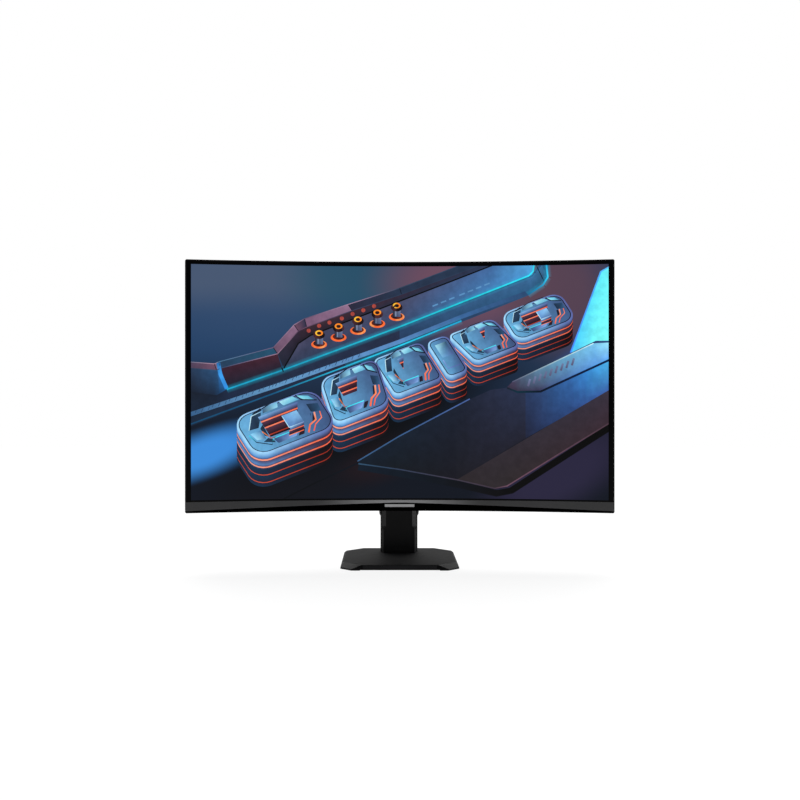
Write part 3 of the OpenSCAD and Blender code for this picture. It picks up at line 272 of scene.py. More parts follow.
def moulded(name, colour, rough=0.5, specular=0.3, grainScale=900, mottle=0.15, marks=0.06, bump=0.25,
            **more):
    return dressed(name, mouldedGrain, {"Colour": hexColour(colour), "Rough": rough,
                                        "Grain Scale": grainScale, "Mottle": mottle, "Marks": marks}, bump,
                   0.00015, Specular_IOR_Level=specular, **more)


def brushed(name, colour, rough=0.3, along=(1, 1, 60), streak=0.25, bump=0.1, **more):
    return dressed(name, brushedLines, {"Colour": hexColour(colour), "Rough": rough, "Along": along,
                                        "Streak": streak},
                   bump, 0.0001, Metallic=1.0, **more)


def zinced(name, colour, rough=0.35, size=120.0, **more):
    return dressed(name, zincSpangle, {"Colour": hexColour(colour), "Rough": rough, "Size": size}, 0.05,
                   0.0001, Metallic=1.0, **more)


def boarded(name, mask, track, pad="c8c0a0"):
    return dressed(name, boardTracks, {"Mask": hexColour(mask), "Track": hexColour(track),
                                       "Pad": hexColour(pad)},
                   0.3, 0.0001)


shellBlack = {"colour": "1c1c1e", "rough": 0.52, "specular": 0.22, "grainScale": 1100, "mottle": 0.22,
              "bump": 0.35}
finishes = {
    "front_frame": moulded("frameBlack", "0a0a0b", 0.45, 0.08, 1400, 0.1),
    "lcd_cell": moulded("cellGlass", "020203", 0.22, 0.05, 2500, 0.05, 0.03, 0.04),
    "optical_films": moulded("filmWhite", "e8eaee", 0.4, 0.5, 300, 0.04),
    "light_guide": moulded("guideAcrylic", "d6e6ec", 0.12, 0.5, 500, 0.03, bump=0.02),
    "reflector_sheet": moulded("reflectorWhite", "f2f2f2", 0.7, 0.3, 400, 0.04),
    "led_strip": boarded("ledStripBoard", "e6e6dc", "d2d2c4"),
    "led_emitters": moulded("phosphorYellow", "f2dc58", 0.35, 0.4, 600, 0.1),
    "panel_chassis": zinced("chassisZinc", "b4b8bc"),
    "chin_cover": moulded("chinGloss", "010101", 0.3, 0.0, 2200, 0.1, 0.08, 0.02),
    "chin_badge": moulded("badgeSilver", "a0a0a2", 0.4, 0.4, 900, 0.08, bump=0.05),
    "power_light": moulded("lightPipe", "d8e4ee", 0.15, 0.5, 500, 0.05, bump=0.02),
    "rear_cover": moulded("rearShell", **shellBlack),
    "cover_screws": brushed("coverScrewBlack", "2c2c2e", 0.35, (40, 1, 40)),
    "vesa_bracket": zinced("bracketZinc", "b0b4b8"),
    "vesa_inserts": brushed("insertBrass", "c8a862", 0.3, (60, 1, 60)),
    "board_tray": zinced("trayZinc", "b8bcc0"),
    "main_board": boarded("mainBoardGreen", "123a22", "1f5a34"),
    "main_board_parts": moulded("chipBlack", "1a1a1c", 0.5, 0.4, 700, 0.3),
    "heat_sink": brushed("sinkAluminium", "b8babd", 0.35, (60, 1, 1)),
    "power_board": boarded("powerBoardTan", "a88a4a", "8a6e36"),
    "power_board_parts": moulded("windingYellow", "c8a840", 0.45, 0.4, 500, 0.35),
    "board_screws": brushed("screwZinc", "b4b4b6", 0.3, (40, 40, 1)),
    "hdmi_ports": brushed("socketShell", "b4b6ba", 0.28, (1, 1, 40)),
    "displayport_port": brushed("tallSocketShell", "b4b6ba", 0.28, (1, 1, 40)),
    "audio_jack": moulded("jackBlack", "141416", 0.4, 0.4),
    "power_inlet": moulded("inletBlack", "0e0e10", 0.42, 0.4, 800, 0.2),
    "inlet_pins": brushed("bladeNickel", "c8c4b8", 0.22, (1, 1, 50)),
    "source_board": boarded("driverBoardGreen", "123a22", "1f5a34"),
    "driver_flexes": moulded("flexAmber", "a86a24", 0.3, 0.5, 500, 0.2),
    "panel_ribbon": moulded("ribbonWhite", "d4d2c8", 0.45, 0.4, 700, 0.1),
    "backlight_lead": moulded("leadRed", "a82420", 0.4, 0.4, 700, 0.15),
    "joystick_lead": moulded("leadBlack", "18181a", 0.4, 0.4, 700, 0.15),
    "joystick_board": boarded("stickBoardGreen", "123a22", "1f5a34"),
    "joystick_housing": moulded("switchBody", "1c1c1e", 0.45, 0.4),
    "joystick_plunger": moulded("plungerGrey", "b8b8b4", 0.4, 0.4),
    "joystick_gimbal": moulded("ringCream", "c4beac", 0.4, 0.4),
    "joystick_cap": moulded("stickRubber", "121214", 0.7, 0.25, 1600, 0.2, 0.05, 0.5),
    "tilt_bracket": moulded("bracketCoat", "2a2a2c", 0.42, 0.4, 700, 0.15, 0.08, 0.4),
    "mount_cover": moulded("mountShell", **{**shellBlack, "colour": "161618"}),
    "tilt_shaft": brushed("shaftSteel", "b8babc", 0.22, (60, 1, 1)),
    "friction_washers": brushed("washerBronze", "9a7a48", 0.35, (1, 30, 30)),
    "disc_springs": brushed("springSteel", "6e7074", 0.3, (1, 30, 30)),
    "shaft_nuts": brushed("nutZinc", "a8aaac", 0.32, (1, 30, 30)),
    "release_button": moulded("buttonPlastic", "242426", 0.4, 0.35, 1200, 0.15),
    "release_latch": zinced("latchZinc", "b0b2b4"),
    "release_spring": brushed("coilSteel", "c0c2c4", 0.22, (20, 20, 20)),
    "hinge_yoke": moulded("yokeCoat", "2c2c2e", 0.42, 0.4, 700, 0.15, 0.08, 0.4),
    "hinge_cover": moulded("hoodShell", **{**shellBlack, "colour": "19191b"}),
    "neck_column": zinced("columnZinc", "a6aaae"),
    "neck_foot": moulded("footCast", "787a7c", 0.5, 0.5, 300, 0.25, 0.1, 0.8, Metallic=0.9),
    "neck_front_cover": moulded("neckSatin", "0c0c0d", 0.36, 0.1, 1300, 0.12, 0.06, 0.12),
    "neck_rear_cover": moulded("neckRearShell", "1a1a1c", 0.36, 0.5, 1200, 0.15, 0.06, 0.15),
    "cable_clip": moulded("clipPlastic", "161618", 0.48, 0.3),
    "base_cover": moulded("baseShell", "080809", 0.5, 0.1, 1100, 0.18, 0.07, 0.3),
    "base_insert": moulded("insertBlack", "1c1c1e", 0.45, 0.2),
    "base_plate": zinced("basePlateZinc", "8e9194"),
    "rubber_feet": moulded("footRubber", "0c0c0d", 0.8, 0.2, 1500, 0.25, 0.1, 0.6),
    "base_screw": brushed("bigScrewZinc", "b0b2b4", 0.3, (40, 40, 1)),
}

# the strip on the chin: dark grey, drawn in fine level lines like combed metal foil, with a painted highlight
# that makes it lighter towards its middle
stripGreyPaintedHighlight = dressed("stripGreyPaintedHighlight", brushedLines, {"Colour": hexColour("3a3a3b"), "Rough": 0.42,
                                                "Along": (2, 2, 240), "Streak": 0.35}, 0.15, 0.0001,
                    Metallic=0.35, Specular_IOR_Level=0.35)
stripTree = stripGreyPaintedHighlight.node_tree
stripPlace = next(node for node in stripTree.nodes if node.type == "TEX_COORD")
stripEffect = next(node for node in stripTree.nodes if node.type == "GROUP")
# painted highlight: the colour runs from light grey at the middle of the strip to dark grey at its ends,
# standing in for light
stripParts = stripTree.nodes.new("ShaderNodeSeparateXYZ")
stripTree.links.new(stripPlace.outputs["Object"], stripParts.inputs[0])
aside = mathNode(stripTree, "ABSOLUTE", stripParts.outputs["X"])
stripTree.links.new(mixColour(stripTree, rampNode(stripTree, aside, 0.0, 0.13), hexColour("8a8a8c"),
                              hexColour("363637")),
                    stripEffect.inputs["Colour"])  # the strip is lighter towards its middle
finishes["chin_trim"] = stripGreyPaintedHighlight
for node, material in finishes.items():
    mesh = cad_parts[node].data
    if len(mesh.materials) == 0:
        mesh.materials.append(material)
    for index in range(len(mesh.materials)):
        mesh.materials[index] = material
print("finishes on", len(finishes), "nodes")


# the lit picture, modelled flat, laid on the curved glass

screenPlan = {"radius": 1.5, "glassY": -0.0375, "width": 0.5977, "height": 0.3362, "layer": 0.0000035,
              "lift": 0.0001, "step": 0.008}
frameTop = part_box("front_frame")[1].z
screenPlan["top"] = frameTop - 0.0066
unit = screenPlan["width"] / 100  # picture units run 0 to 100 across and 0 to 56.2 up


def bendOnGlass(bm):  # x along the glass, -y out of the glass, z up
    centreY = screenPlan["glassY"] - screenPlan["radius"]
    for vert in bm.verts:
        turn = vert.co.x / screenPlan["radius"]
        reach = screenPlan["radius"] + vert.co.y
        vert.co.x = reach * math.sin(turn)
        vert.co.y = centreY + reach * math.cos(turn)


def toGlass(bm):  # picture units and layers to metres, cut into narrow strips, then bent
    height = screenPlan["height"] / unit
    for normal, edge in (((1, 0, 0), 100), ((-1, 0, 0), 0), ((0, 0, 1), height), ((0, 0, -1), 0)):
        place = tuple(abs(n) * edge for n in normal)
        bmesh.ops.bisect_plane(bm, geom=bm.verts[:] + bm.edges[:] + bm.faces[:], plane_co=place,
                               plane_no=normal, clear_outer=True)
    low = screenPlan["top"] - screenPlan["height"]
    shift = Matrix.Translation((-screenPlan["width"] / 2, -screenPlan["lift"], low))
    size = Matrix.Diagonal((unit, -screenPlan["layer"], unit, 1))
    bmesh.ops.transform(bm, matrix=shift @ size, verts=bm.verts)
    count = round(screenPlan["width"] / screenPlan["step"])
    for i in range(1, count):
        x = -screenPlan["width"] / 2 + i * screenPlan["width"] / count
        bmesh.ops.bisect_plane(bm, geom=bm.verts[:] + bm.edges[:] + bm.faces[:], plane_co=(x, 0, 0),
                               plane_no=(1, 0, 0))
    bm.normal_update()
    bmesh.ops.reverse_faces(bm, faces=[face for face in bm.faces if face.normal.y > 0])
    bendOnGlass(bm)


def paint(face, layer, colours):
    for index, loop in enumerate(face.loops):
        loop[layer] = colours[index % len(colours)]


def tonesOf(colours):  # each one a hex text, or a hex text with its alpha
    return [hexColour(*colour) if isinstance(colour, tuple) else hexColour(colour) for colour in colours]


def disc(bm, tint, place, depth, radius, squeeze, colours, segments=22):  # a round patch, drawn as an ellipse
    flat = Matrix.Translation((place[0], depth, place[1])) @ Matrix.Diagonal((squeeze[0], 1, squeeze[1], 1))
    made = bmesh.ops.create_circle(bm, cap_ends=True, segments=segments, radius=radius,
                                   matrix=flat @ Matrix.Rotation(math.radians(90), 4, "X"))
    paint(made["verts"][0].link_faces[0], tint, tonesOf(colours))


def flatShape(bm, tint, points, depth, colours):  # one colour, or one for each point
    verts = [bm.verts.new((x, depth, z)) for x, z in points]
    face = bm.faces.new(verts)
    paint(face, tint, tonesOf(colours))


def ribbonLine(bm, tint, points, width, depth, colours):  # a bright line along a path, mitred at its bends
    rim = []
    for index, point in enumerate(points):
        here = Vector(point)
        before = Vector(points[max(index - 1, 0)])
        after = Vector(points[min(index + 1, len(points) - 1)])
        run = (after - before).normalized()
        across = Vector((-run.y, run.x)) * width / 2
        rim.append((here + across, here - across))
    tones = tonesOf(colours)
    for index in range(len(points) - 1):
        near = tones[min(index, len(tones) - 1)]
        far = tones[min(index + 1, len(tones) - 1)]
        corners = (rim[index][0], rim[index + 1][0], rim[index + 1][1], rim[index][1])
        face = bm.faces.new([bm.verts.new((c.x, depth, c.y)) for c in corners])
        paint(face, tint, [near, far, far, near])


def glowLine(bm, tint, points, width, depth, colour, strength=0.5):  # a soft halo
    for side in (-1, 1):
        for index in range(len(points) - 1):
            a, b = Vector(points[index]), Vector(points[index + 1])
            run = (b - a).normalized()
            across = Vector((-run.y, run.x)) * width * side
            corners = (a, b, b + across, a + across)
            face = bm.faces.new([bm.verts.new((c.x, depth, c.y)) for c in corners])
            near, far = hexColour(colour, strength), hexColour(colour, 0.0)
            paint(face, tint, [near, near, far, far])


def glowingMaterial(name):  # black under its own light, with the cell's satin sheen
    material, tree, shader = newMaterial(name)
    shader.inputs["Base Color"].default_value = (0, 0, 0, 1)
    shader.inputs["Specular IOR Level"].default_value = 0.1
    shader.inputs["Roughness"].default_value = 0.35
    shader.inputs["Emission Strength"].default_value = 1.0
    return material, tree, shader


def litMaterial(name, seeThrough=False):  # paints with the piece's own colours
    material, tree, shader = glowingMaterial(name)
    source = tree.nodes.new("ShaderNodeAttribute")
    source.attribute_name = "tint"
    place = tree.nodes.new("ShaderNodeTexCoord")
    mottle = noiseNode(tree, place.outputs["Object"], 90, 5, 0.6)
    soft = vectorNode(tree, "SCALE", source.outputs["Color"], rampNode(tree, mottle, 0.25, 0.75, 0.86, 1.12))
    tree.links.new(soft, shader.inputs["Emission Color"])
    if seeThrough:
        tree.links.new(source.outputs["Alpha"], shader.inputs["Alpha"])
    return material


# backdrop: soft washes of blue, teal and mauve with a blue pool of light at the left
washes = [  # middle x, middle z, reach along, reach across, turn in degrees, colour, strength
    (14, 52, 34, 16, 0, "4a5a74", 0.9), (40, 55, 18, 22, 0, "1f5068", 0.75),
    (66, 52, 22, 14, 0, "6e4c5e", 0.95), (88, 50, 14, 16, 0, "5a4250", 0.85),
    (12, 40, 40, 10, 0, "22436a", 0.7), (97, 28, 14, 9, 30, "2f78d8", 0.75),
    (3, 11, 17, 5.4, 20, "3f92e6", 0.9), (24, 3, 22, 6, 8, "0d0e16", 0.85),
    (88, 6, 22, 9, 30, "2a2640", 0.9), (46, 10, 12, 6, 20, "241418", 0.6), (44, 19, 40, 8, 22, "05060a", 0.9)]
backdrop, tree, shader = glowingMaterial("pictureBackdrop")
softPool, start, end = newGroup(
    "softPool", [("Vector", "Vector", None), ("Under", "Color", (0, 0, 0, 1)),
                 ("Colour", "Color", (1, 1, 1, 1)), ("Middle", "Vector", (0, 0, 0)), ("Turn", "Float", 0.0),
                 ("Reach", "Vector", (0.1, 0.1, 1)), ("Strength", "Float", 1.0)], [("Colour", "Color")])
offset = vectorNode(softPool, "SUBTRACT", start.outputs["Vector"], start.outputs["Middle"])
swing = softPool.nodes.new("ShaderNodeVectorRotate")
swing.rotation_type = "Z_AXIS"
softPool.links.new(offset, swing.inputs["Vector"])
softPool.links.new(start.outputs["Turn"], swing.inputs["Angle"])
shrunk = vectorNode(softPool, "DIVIDE", swing.outputs[0], start.outputs["Reach"])
away = softPool.nodes.new("ShaderNodeVectorMath")
away.operation = "LENGTH"
softPool.links.new(shrunk, away.inputs[0])
pool = mathNode(softPool, "MULTIPLY", rampNode(softPool, away.outputs["Value"], 0.35, 1.25, 1, 0),
                start.outputs["Strength"])
softPool.links.new(mixColour(softPool, pool, start.outputs["Under"], start.outputs["Colour"]),
                   end.inputs["Colour"])
mapNode = tree.nodes.new("ShaderNodeUVMap")
mapNode.uv_map = "picture"
parts = tree.nodes.new("ShaderNodeSeparateXYZ")
tree.links.new(mapNode.outputs[0], parts.inputs[0])
below = mixColour(tree, rampNode(tree, parts.outputs["Y"], 0.12, 0.42), hexColour("0c121e"),
                  hexColour("243a58"))
for x, z, along, across, turn, colour, strength in washes:
    wash = tree.nodes.new("ShaderNodeGroup")
    wash.node_tree = softPool
    tree.links.new(mapNode.outputs[0], wash.inputs["Vector"])
    tree.links.new(below, wash.inputs["Under"])
    wash.inputs["Colour"].default_value = hexColour(colour)
    wash.inputs["Middle"].default_value = (x / 100, z / 100, 0)
    wash.inputs["Turn"].default_value = -math.radians(turn)
    wash.inputs["Reach"].default_value = (along / 100, across / 100, 1)
    wash.inputs["Strength"].default_value = strength
    below = wash.outputs["Colour"]
tree.links.new(below, shader.inputs["Emission Color"])

bm = bmesh.new()
bmesh.ops.create_grid(bm, x_segments=1, y_segments=1, size=0.5)
bmesh.ops.transform(bm, matrix=Matrix.Diagonal((100, 1, screenPlan["height"] / unit, 1)) @
                    Matrix.Translation((0.5, 0, 0.5)) @ Matrix.Rotation(math.radians(90), 4, "X"),
                    verts=bm.verts)
uv = bm.loops.layers.uv.new("picture")
for face in bm.faces:
    for loop in face.loops:
        loop[uv].uv = (loop.vert.co.x / 100, loop.vert.co.z / 100)
toGlass(bm)
addPiece(bm, "pictureBackdrop", "head", [backdrop], smooth=True)

layers = {  # counted out from the glass
    "floor": 2, "panel": 3, "deck": 4, "slab": 5, "band": 6, "edge": 7, "lip": 8, "tag": 9, "tagEdge": 10,
    "vents": 11, "haze": 12, "neon": 14, "seam": 15, "post": 18, "shine": 19}

# a dark machine that rises to the right, its edges lit in blue
bm = bmesh.new()
tint = bm.loops.layers.float_color.new("tint")
ledge = [(-1, 33), (5.5, 32.5), (6.5, 33), (19.5, 36.5), (24.5, 42), (27, 43.5), (37.5, 47), (50, 51),
         (66, 57)]
under = [(-1, 31.5), (6, 31), (7, 31.5), (20.5, 35), (25.5, 40.5), (27.5, 41.5), (38.5, 45.5), (50.5, 49.5),
         (71, 57)]
ledgeTones = [("4a4058", "6a4a60"), ("806074", "2c5a78"), ("28405c", "24506c"), ("6a5068", "8a6884"),
              ("6a4a60", "2c3048"), ("7a5a76", "8c6c88"), ("2a2a3e", "26344c"), ("26344c", "26364e")]
for i, (near, far) in enumerate(ledgeTones):
    flatShape(bm, tint, [ledge[i], ledge[i + 1], under[i + 1], under[i]], layers["band"],
              [near, far, far, near])
    ribbonLine(bm, tint, [ledge[i + 1], under[i + 1]], 0.18, layers["edge"], ["141a28"])
ribbonLine(bm, tint, ledge, 0.2, layers["edge"], ["5a6a84", "a88494", "4a7a9c", "6a5a78", "a08098",
                                                  "5a4a64", "a484a0", "344860", "304460"])
ribbonLine(bm, tint, under, 0.2, layers["edge"], ["2a3850", "3a5474", "2a4a6c", "9a7890", "544058",
                                                  "6a4c66", "3c4460", "283850", "2a3a54"])
seamPath = [(22, 31.5), (25.5, 37.5), (28.5, 39.5), (50.5, 48), (74, 57)]
flatShape(bm, tint, under[3:] + seamPath[::-1], layers["deck"],
          ["2a2c3c", "35283a", "3a2a34", "402a34", "33283a", "28324a",
                                                     "2a3a58", "262c40", "241c28", "201c28", "1e2436"])
flatShape(bm, tint, [(22, 31.5), (25.5, 37.5), (28.5, 39.5), (50.5, 48), (74, 57), (82.5, 57), (82, 54),
                     (50, 41.5)], layers["deck"],
          ["2e3a52", "4a4a66", "40405a", "4a4c68", "40689e", "5ab4ee", "4a90d0", "34466a"])
flatShape(bm, tint, [(7, 31.5), (20.5, 35), (21.7, 31), (8.5, 26.5)], layers["deck"],
          ["3a2030", "44222e", "1c2234", "182030"])
flatShape(bm, tint, [(-1, 31.5), (6, 31), (7, 31.5), (8.5, 26.5), (6, 25), (-1, 26)], layers["panel"],
          ["26344c", "2a5078", "2f80d0", "1f5a90", "1c2c44", "18202e"])
ribbonLine(bm, tint, [(6.4, 32.8), (6.9, 30), (8.4, 26.6)], 0.9, layers["edge"],
           ["2a6aa8", "3fa0f0", "2f86d8"])
flatShape(bm, tint, [(-1, 26), (6, 25), (8.5, 26.5), (22, 31), (50, 41.5), (82, 54), (84, 57), (86, 57),
                     (85.5, 53), (81, 49), (50, 36.8), (-1, 17.3)], layers["floor"],
          ["18202e", "182234", "1e2a44", "222c44", "26304a", "2a4c74", "2a5078", "2a4a70", "28486c",
           "2c5078", "242c44", "18283e"])
flatShape(bm, tint, [(50, 41.2), (82, 53.6), (84.5, 56.5), (85.5, 53), (81, 49.6), (50, 37.6)],
          layers["panel"], ["2a4468", "3a6a98", "3a7098", "2a5478", "2a5880", "263c5c"])
ribbonLine(bm, tint, [(-1, 20.2), (20, 27.2), (50, 38), (65, 44), (80.5, 49.6)], 1.0, layers["band"],
           ["345c88", "6498c4", "5a88c0", "3a6498", "2c4c74"])
for x in range(50):
    mid = Vector((x * 0.8 + 1, 20.2 + (x * 0.8 + 1) * 0.352 + 0.35))
    ribbonLine(bm, tint, [(mid.x - 0.2, mid.y - 0.5), (mid.x + 0.25, mid.y + 0.5)], 0.14, layers["edge"],
               ["2c4468"])
neon = {"upper": [(8.4, 26.4), (21.6, 31), (50, 41.6), (66, 47.9), (81.2, 53.8), (82.2, 54.8), (82.5, 57)],
        "lower": [(-1, 17.8), (20, 25.6), (37, 32), (50, 37), (65, 43)],
        "end": [(85.3, 57), (85.7, 53.4), (84.6, 51.6), (81, 49.2)]}
haze = bmesh.new()
hazeTint = haze.loops.layers.float_color.new("tint")
for path, strength in ((neon["upper"], 0.3), (neon["lower"][2:], 0.2), (neon["end"], 0.3)):
    glowLine(haze, hazeTint, path, 1.0, layers["haze"], "1cc0e8", strength)
ribbonLine(bm, tint, neon["upper"], 0.34, layers["neon"], ["1ca8d0", "1ca0c4", "20c0d8", "20d0e0", "30e8ff",
                                                           "30e8ff", "28c8f0"])
ribbonLine(bm, tint, neon["lower"], 0.34, layers["neon"], ["164468", "185a84", "28b4d8", "28d0f0", "20a8d8"])
ribbonLine(bm, tint, neon["end"], 0.4, layers["neon"], ["28a8e0", "34d0f8", "20a0d0", "1c6a98"])
ribbonLine(bm, tint, seamPath, 0.34, layers["seam"], ["06080c", "06080c", "0a0c12", "05060a", "060a10"])
ribbonLine(bm, tint, [(21.5, 31.7), (21.9, 30.7)], 0.3, layers["seam"], ["05060a"])
ribbonLine(bm, tint, [(85, 52), (82.6, 57)], 0.2, layers["tag"], ["0a1420"])
for x, z in ((30.5, 43.4), (33, 44.2), (36, 45.2), (38.6, 46.3), (41.2, 47.2), (43.8, 48.2), (28, 42.2)):
    disc(bm, tint, (x, z - 1.6), layers["tag"], 0.5, (1, 1), ["7a3434", "b04a40"], 14)
for x in (58, 60, 62, 64.5, 66.5, 68.5, 70.5):
    ribbonLine(bm, tint, [(x, 46.6 + (x - 58) * 0.4), (x + 1.3, 47.1 + (x - 58) * 0.4)], 0.35,
               layers["tag"], ["5a90c0"])

# small posts with glowing rings
for i in range(5):
    x, z = 30.5 + i * 4.7, 38.5 + i * 1.68
    for radius, lift, tone, tone2, depth in ((2.0, -1.2, "ff9c5a", "ff6a30", 16),
                                             (1.5, -1.0, "2a1a22", "6a2418", 17)):
        disc(bm, tint, (x, z + lift), depth, radius, (0.95, 0.5), [tone, tone2])
    flatShape(bm, tint, [(x - 0.95, z - 1.2), (x + 0.95, z - 1.2), (x + 0.95, z + 0.9),
                         (x - 0.95, z + 0.9)], layers["post"],
              ["14141e", "5a6a90", "7a86a8", "241c28"])
    flatShape(bm, tint, [(x - 0.4, z - 1.1), (x + 0.2, z - 1.1), (x + 0.15, z + 0.8), (x - 0.35, z + 0.8)],
              layers["shine"], ["8a98b8", "3a4460", "4a5068", "a0a8c0"])
    for radius, lift, tone, tone2, depth in ((1.4, 1.1, "140c12", "4a2830", 20),
                                             (0.95, 1.55, "ffc23a", "ff8a28", 21),
                                             (0.55, 1.5, "1c0f14", "2c161a", 22)):
        disc(bm, tint, (x, z + lift), depth, radius, (1, 0.72), [tone, tone2])

# a low slab at the lower right, with a brown band and a bright tag, and a cyan beam
flatShape(bm, tint, [(91.2, 35.2), (97, 38), (101, 38), (101, 56), (98.2, 54.5)], layers["slab"],
          ["44c4ff", "78ffff", "80ffff", "78ffff", "60f0ff"])
ribbonLine(bm, tint, [(91.1, 35.2), (98.2, 54.5), (101, 56)], 0.35, layers["band"],
           ["4a8cff", "50b0ff", "6ad0ff"])
flatShape(bm, tint, [(40, 8.9), (50, 15), (63.6, 22.3), (63.6, 4.65), (50, 7.2), (40.2, 8.5)], layers["slab"],
          ["101c2a", "141f2e", "181f2f", "15151e", "11171f", "101b28"])
flatShape(bm, tint, [(63.6, 22.3), (67, 24), (72, 26.3), (80.4, 27.4), (80.4, 14.6), (64, 4.6),
                     (63.6, 4.65)], layers["slab"],
          ["181f2f", "1c2234", "242a40", "2a3450", "20202e", "181820", "15151e"])
flatShape(bm, tint, [(80.4, 27.4), (84, 27.6), (91, 31), (91, 20.8), (80.4, 14.6)], layers["slab"],
          ["283a60", "2c4470", "346cb0", "2a4478", "20243a"])
flatShape(bm, tint, [(91, 31), (95, 33), (101, 36), (101, 26.8), (91, 20.8)], layers["slab"],
          ["346cb0", "3c98e8", "50c8ff", "3c64b0", "2a4478"])
flatShape(bm, tint, [(64, 4.6), (73, 2.6), (76, 3.2), (101, 19), (101, 26.8)], layers["band"],
          ["2c262a", "2e282c", "2c2628", "3a2a34", "36303e"])
ribbonLine(bm, tint, [(40, 8.4), (50, 7), (64, 4.5), (73, 2.5), (76, 3.1), (101, 18.9)], 0.3, layers["lip"],
           ["30506c", "303c54", "403a48", "403440", "6a4a5c", "4a3642"])
ribbonLine(bm, tint, [(40, 7.6), (50, 6), (64, 3.4), (73.5, 1.3), (77, 2), (101, 17.9)], 1.6, layers["deck"],
           ["0e1a28", "0c1622", "0a0e16", "06060a", "020203", "020203"])
ribbonLine(bm, tint, [(39.8, 9), (50, 15.1), (67, 24.1)], 0.3, layers["lip"], ["3a5c84", "3a5c88", "4a64a0"])
flatShape(bm, tint, [(76, 27), (77.2, 28.2), (96.5, 37.4), (101, 37.6), (101, 34.2), (84, 26.2),
                     (78.5, 26)], layers["tag"],
          ["3a3248", "463c56", "7ac8f0", "a0ecff", "68b0ff", "3c3a5a", "343044"])
ribbonLine(bm, tint, [(76, 26.8), (78.5, 25.8), (84, 25.9), (101, 33.8)], 0.5, layers["lip"],
           ["1c2030", "0a3040", "0a1424", "0c1c48"])
ribbonLine(bm, tint, [(77.2, 28.2), (96.5, 37.4)], 0.25, layers["tagEdge"], ["50506e", "c8f4ff"])
for i in range(9):
    x = 81 + i * 1.3
    ribbonLine(bm, tint, [(x, 27.2 + i * 0.62), (x + 0.5, 28.9 + i * 0.62)], 0.5, layers["vents"],
               ["5a5878", "6c7aa0"])
# a joint in the floor, left of the slab
ribbonLine(bm, tint, [(20, -1), (30, 4), (40, 8.6)], 0.3, layers["panel"], ["04070c", "05080e", "0a1420"])
toGlass(bm)
addPiece(bm, "pictureScene", "head", [litMaterial("picturePaint")], smooth=True)
toGlass(haze)
addPiece(haze, "pictureHaze", "head", [litMaterial("hazePaint", True)], smooth=True)
print("picture scene laid")


# six blocks with stacked walls and glowing seams, in a row that rises to the right
blockPlan = {"slope": 21, "across": (0.46, -0.72), "firstLayer": 30, "layersEach": 6, "rim": 0.4,
             "groove": 0.22, "coreShare": 0.6}
blockTones = {  # at the left, in the middle and at the right of a block
    "cool": ("5a8cc8", "4a4260", "30242e"), "warm": ("4a4468", "5a2a38", "3c1a24"),
    "deep": ("143450", "120e16", "0a080c"), "deepWarm": ("1e2840", "22101a", "160a10"),
    "seam": ("ffa488", "ff7e58", "f86444"), "dimSeam": ("c85038", "b83622", "8a2a1c"),
    "rim": ("a4dcff", "6c94d4", "5a64a0"), "edge": ("5a98d8", "46527e", "3a3450"),
    "groove": ("1a2c44", "141c30", "161422"), "top": ("6cb4e0", "4c78aa", "40547e"),
    "pit": ("2c1c2c", "201420", "140c14")}
blocks = [  # middle of the top, size along and across, height, corner, lean, opening, core in it
    {"at": (22.3, 19.2), "size": (21.2, 13.0), "tall": 8.8, "corner": 0.3,
     "opening": (-0.5, 0.46, -0.52, 0.5), "core": (-0.02, 0.34, -0.2, 0.4)},
    {"at": (39.2, 26.6), "size": (14.8, 13.8), "tall": 8.0, "corner": 0.2, "lean": 0.1,
     "opening": (-0.46, 0.3, -0.5, 0.12)},
    {"at": (52.0, 32.0), "size": (12.6, 12.2), "tall": 7.4, "corner": 0.14,
     "opening": (-0.2, 0.06, -0.5, 0.6)},
    {"at": (61.6, 35.0), "size": (5.4, 12.0), "tall": 7.0, "corner": 0.14},
    {"at": (70.4, 38.8), "size": (11.6, 10.4), "tall": 6.6, "corner": 0.16, "lean": -0.1,
     "opening": (0.0, 0.3, -0.6, 0.45)},
    {"at": (83.4, 44.4), "size": (15.2, 9.2), "tall": 6.2, "corner": 0.3, "opening": (-0.5, 0.46, -0.5, 0.45),
     "core": (0.0, 0.34, -0.2, 0.35)},
]
wallLevels = [  # share of the height, colour at its foot, colour at its head
    (0.1, "deep", "deepWarm"), (0.025, "dimSeam", "dimSeam"), (0.15, "deepWarm", "deep"),
    (0.03, "deep", "deepWarm"), (0.025, "dimSeam", "dimSeam"), (0.14, "deepWarm", "deep"),
    (0.04, "deep", "warm"), (0.035, "seam", "seam"), (0.05, "warm", "cool"), (0.11, "cool", "warm"),
    (0.04, "seam", "seam"), (0.05, "warm", "edge"), (0.12, "edge", "rim")]
openingBands = [(0.1, "edge", "rim"), (0.05, "warm", "edge"), (0.04, "seam", "seam"), (0.16, "pit", "warm"),
                (0.04, "seam", "seam"), (0.2, "pit", "warm"), (0.03, "dimSeam", "dimSeam"),
                (0.5, "pit", "pit")]
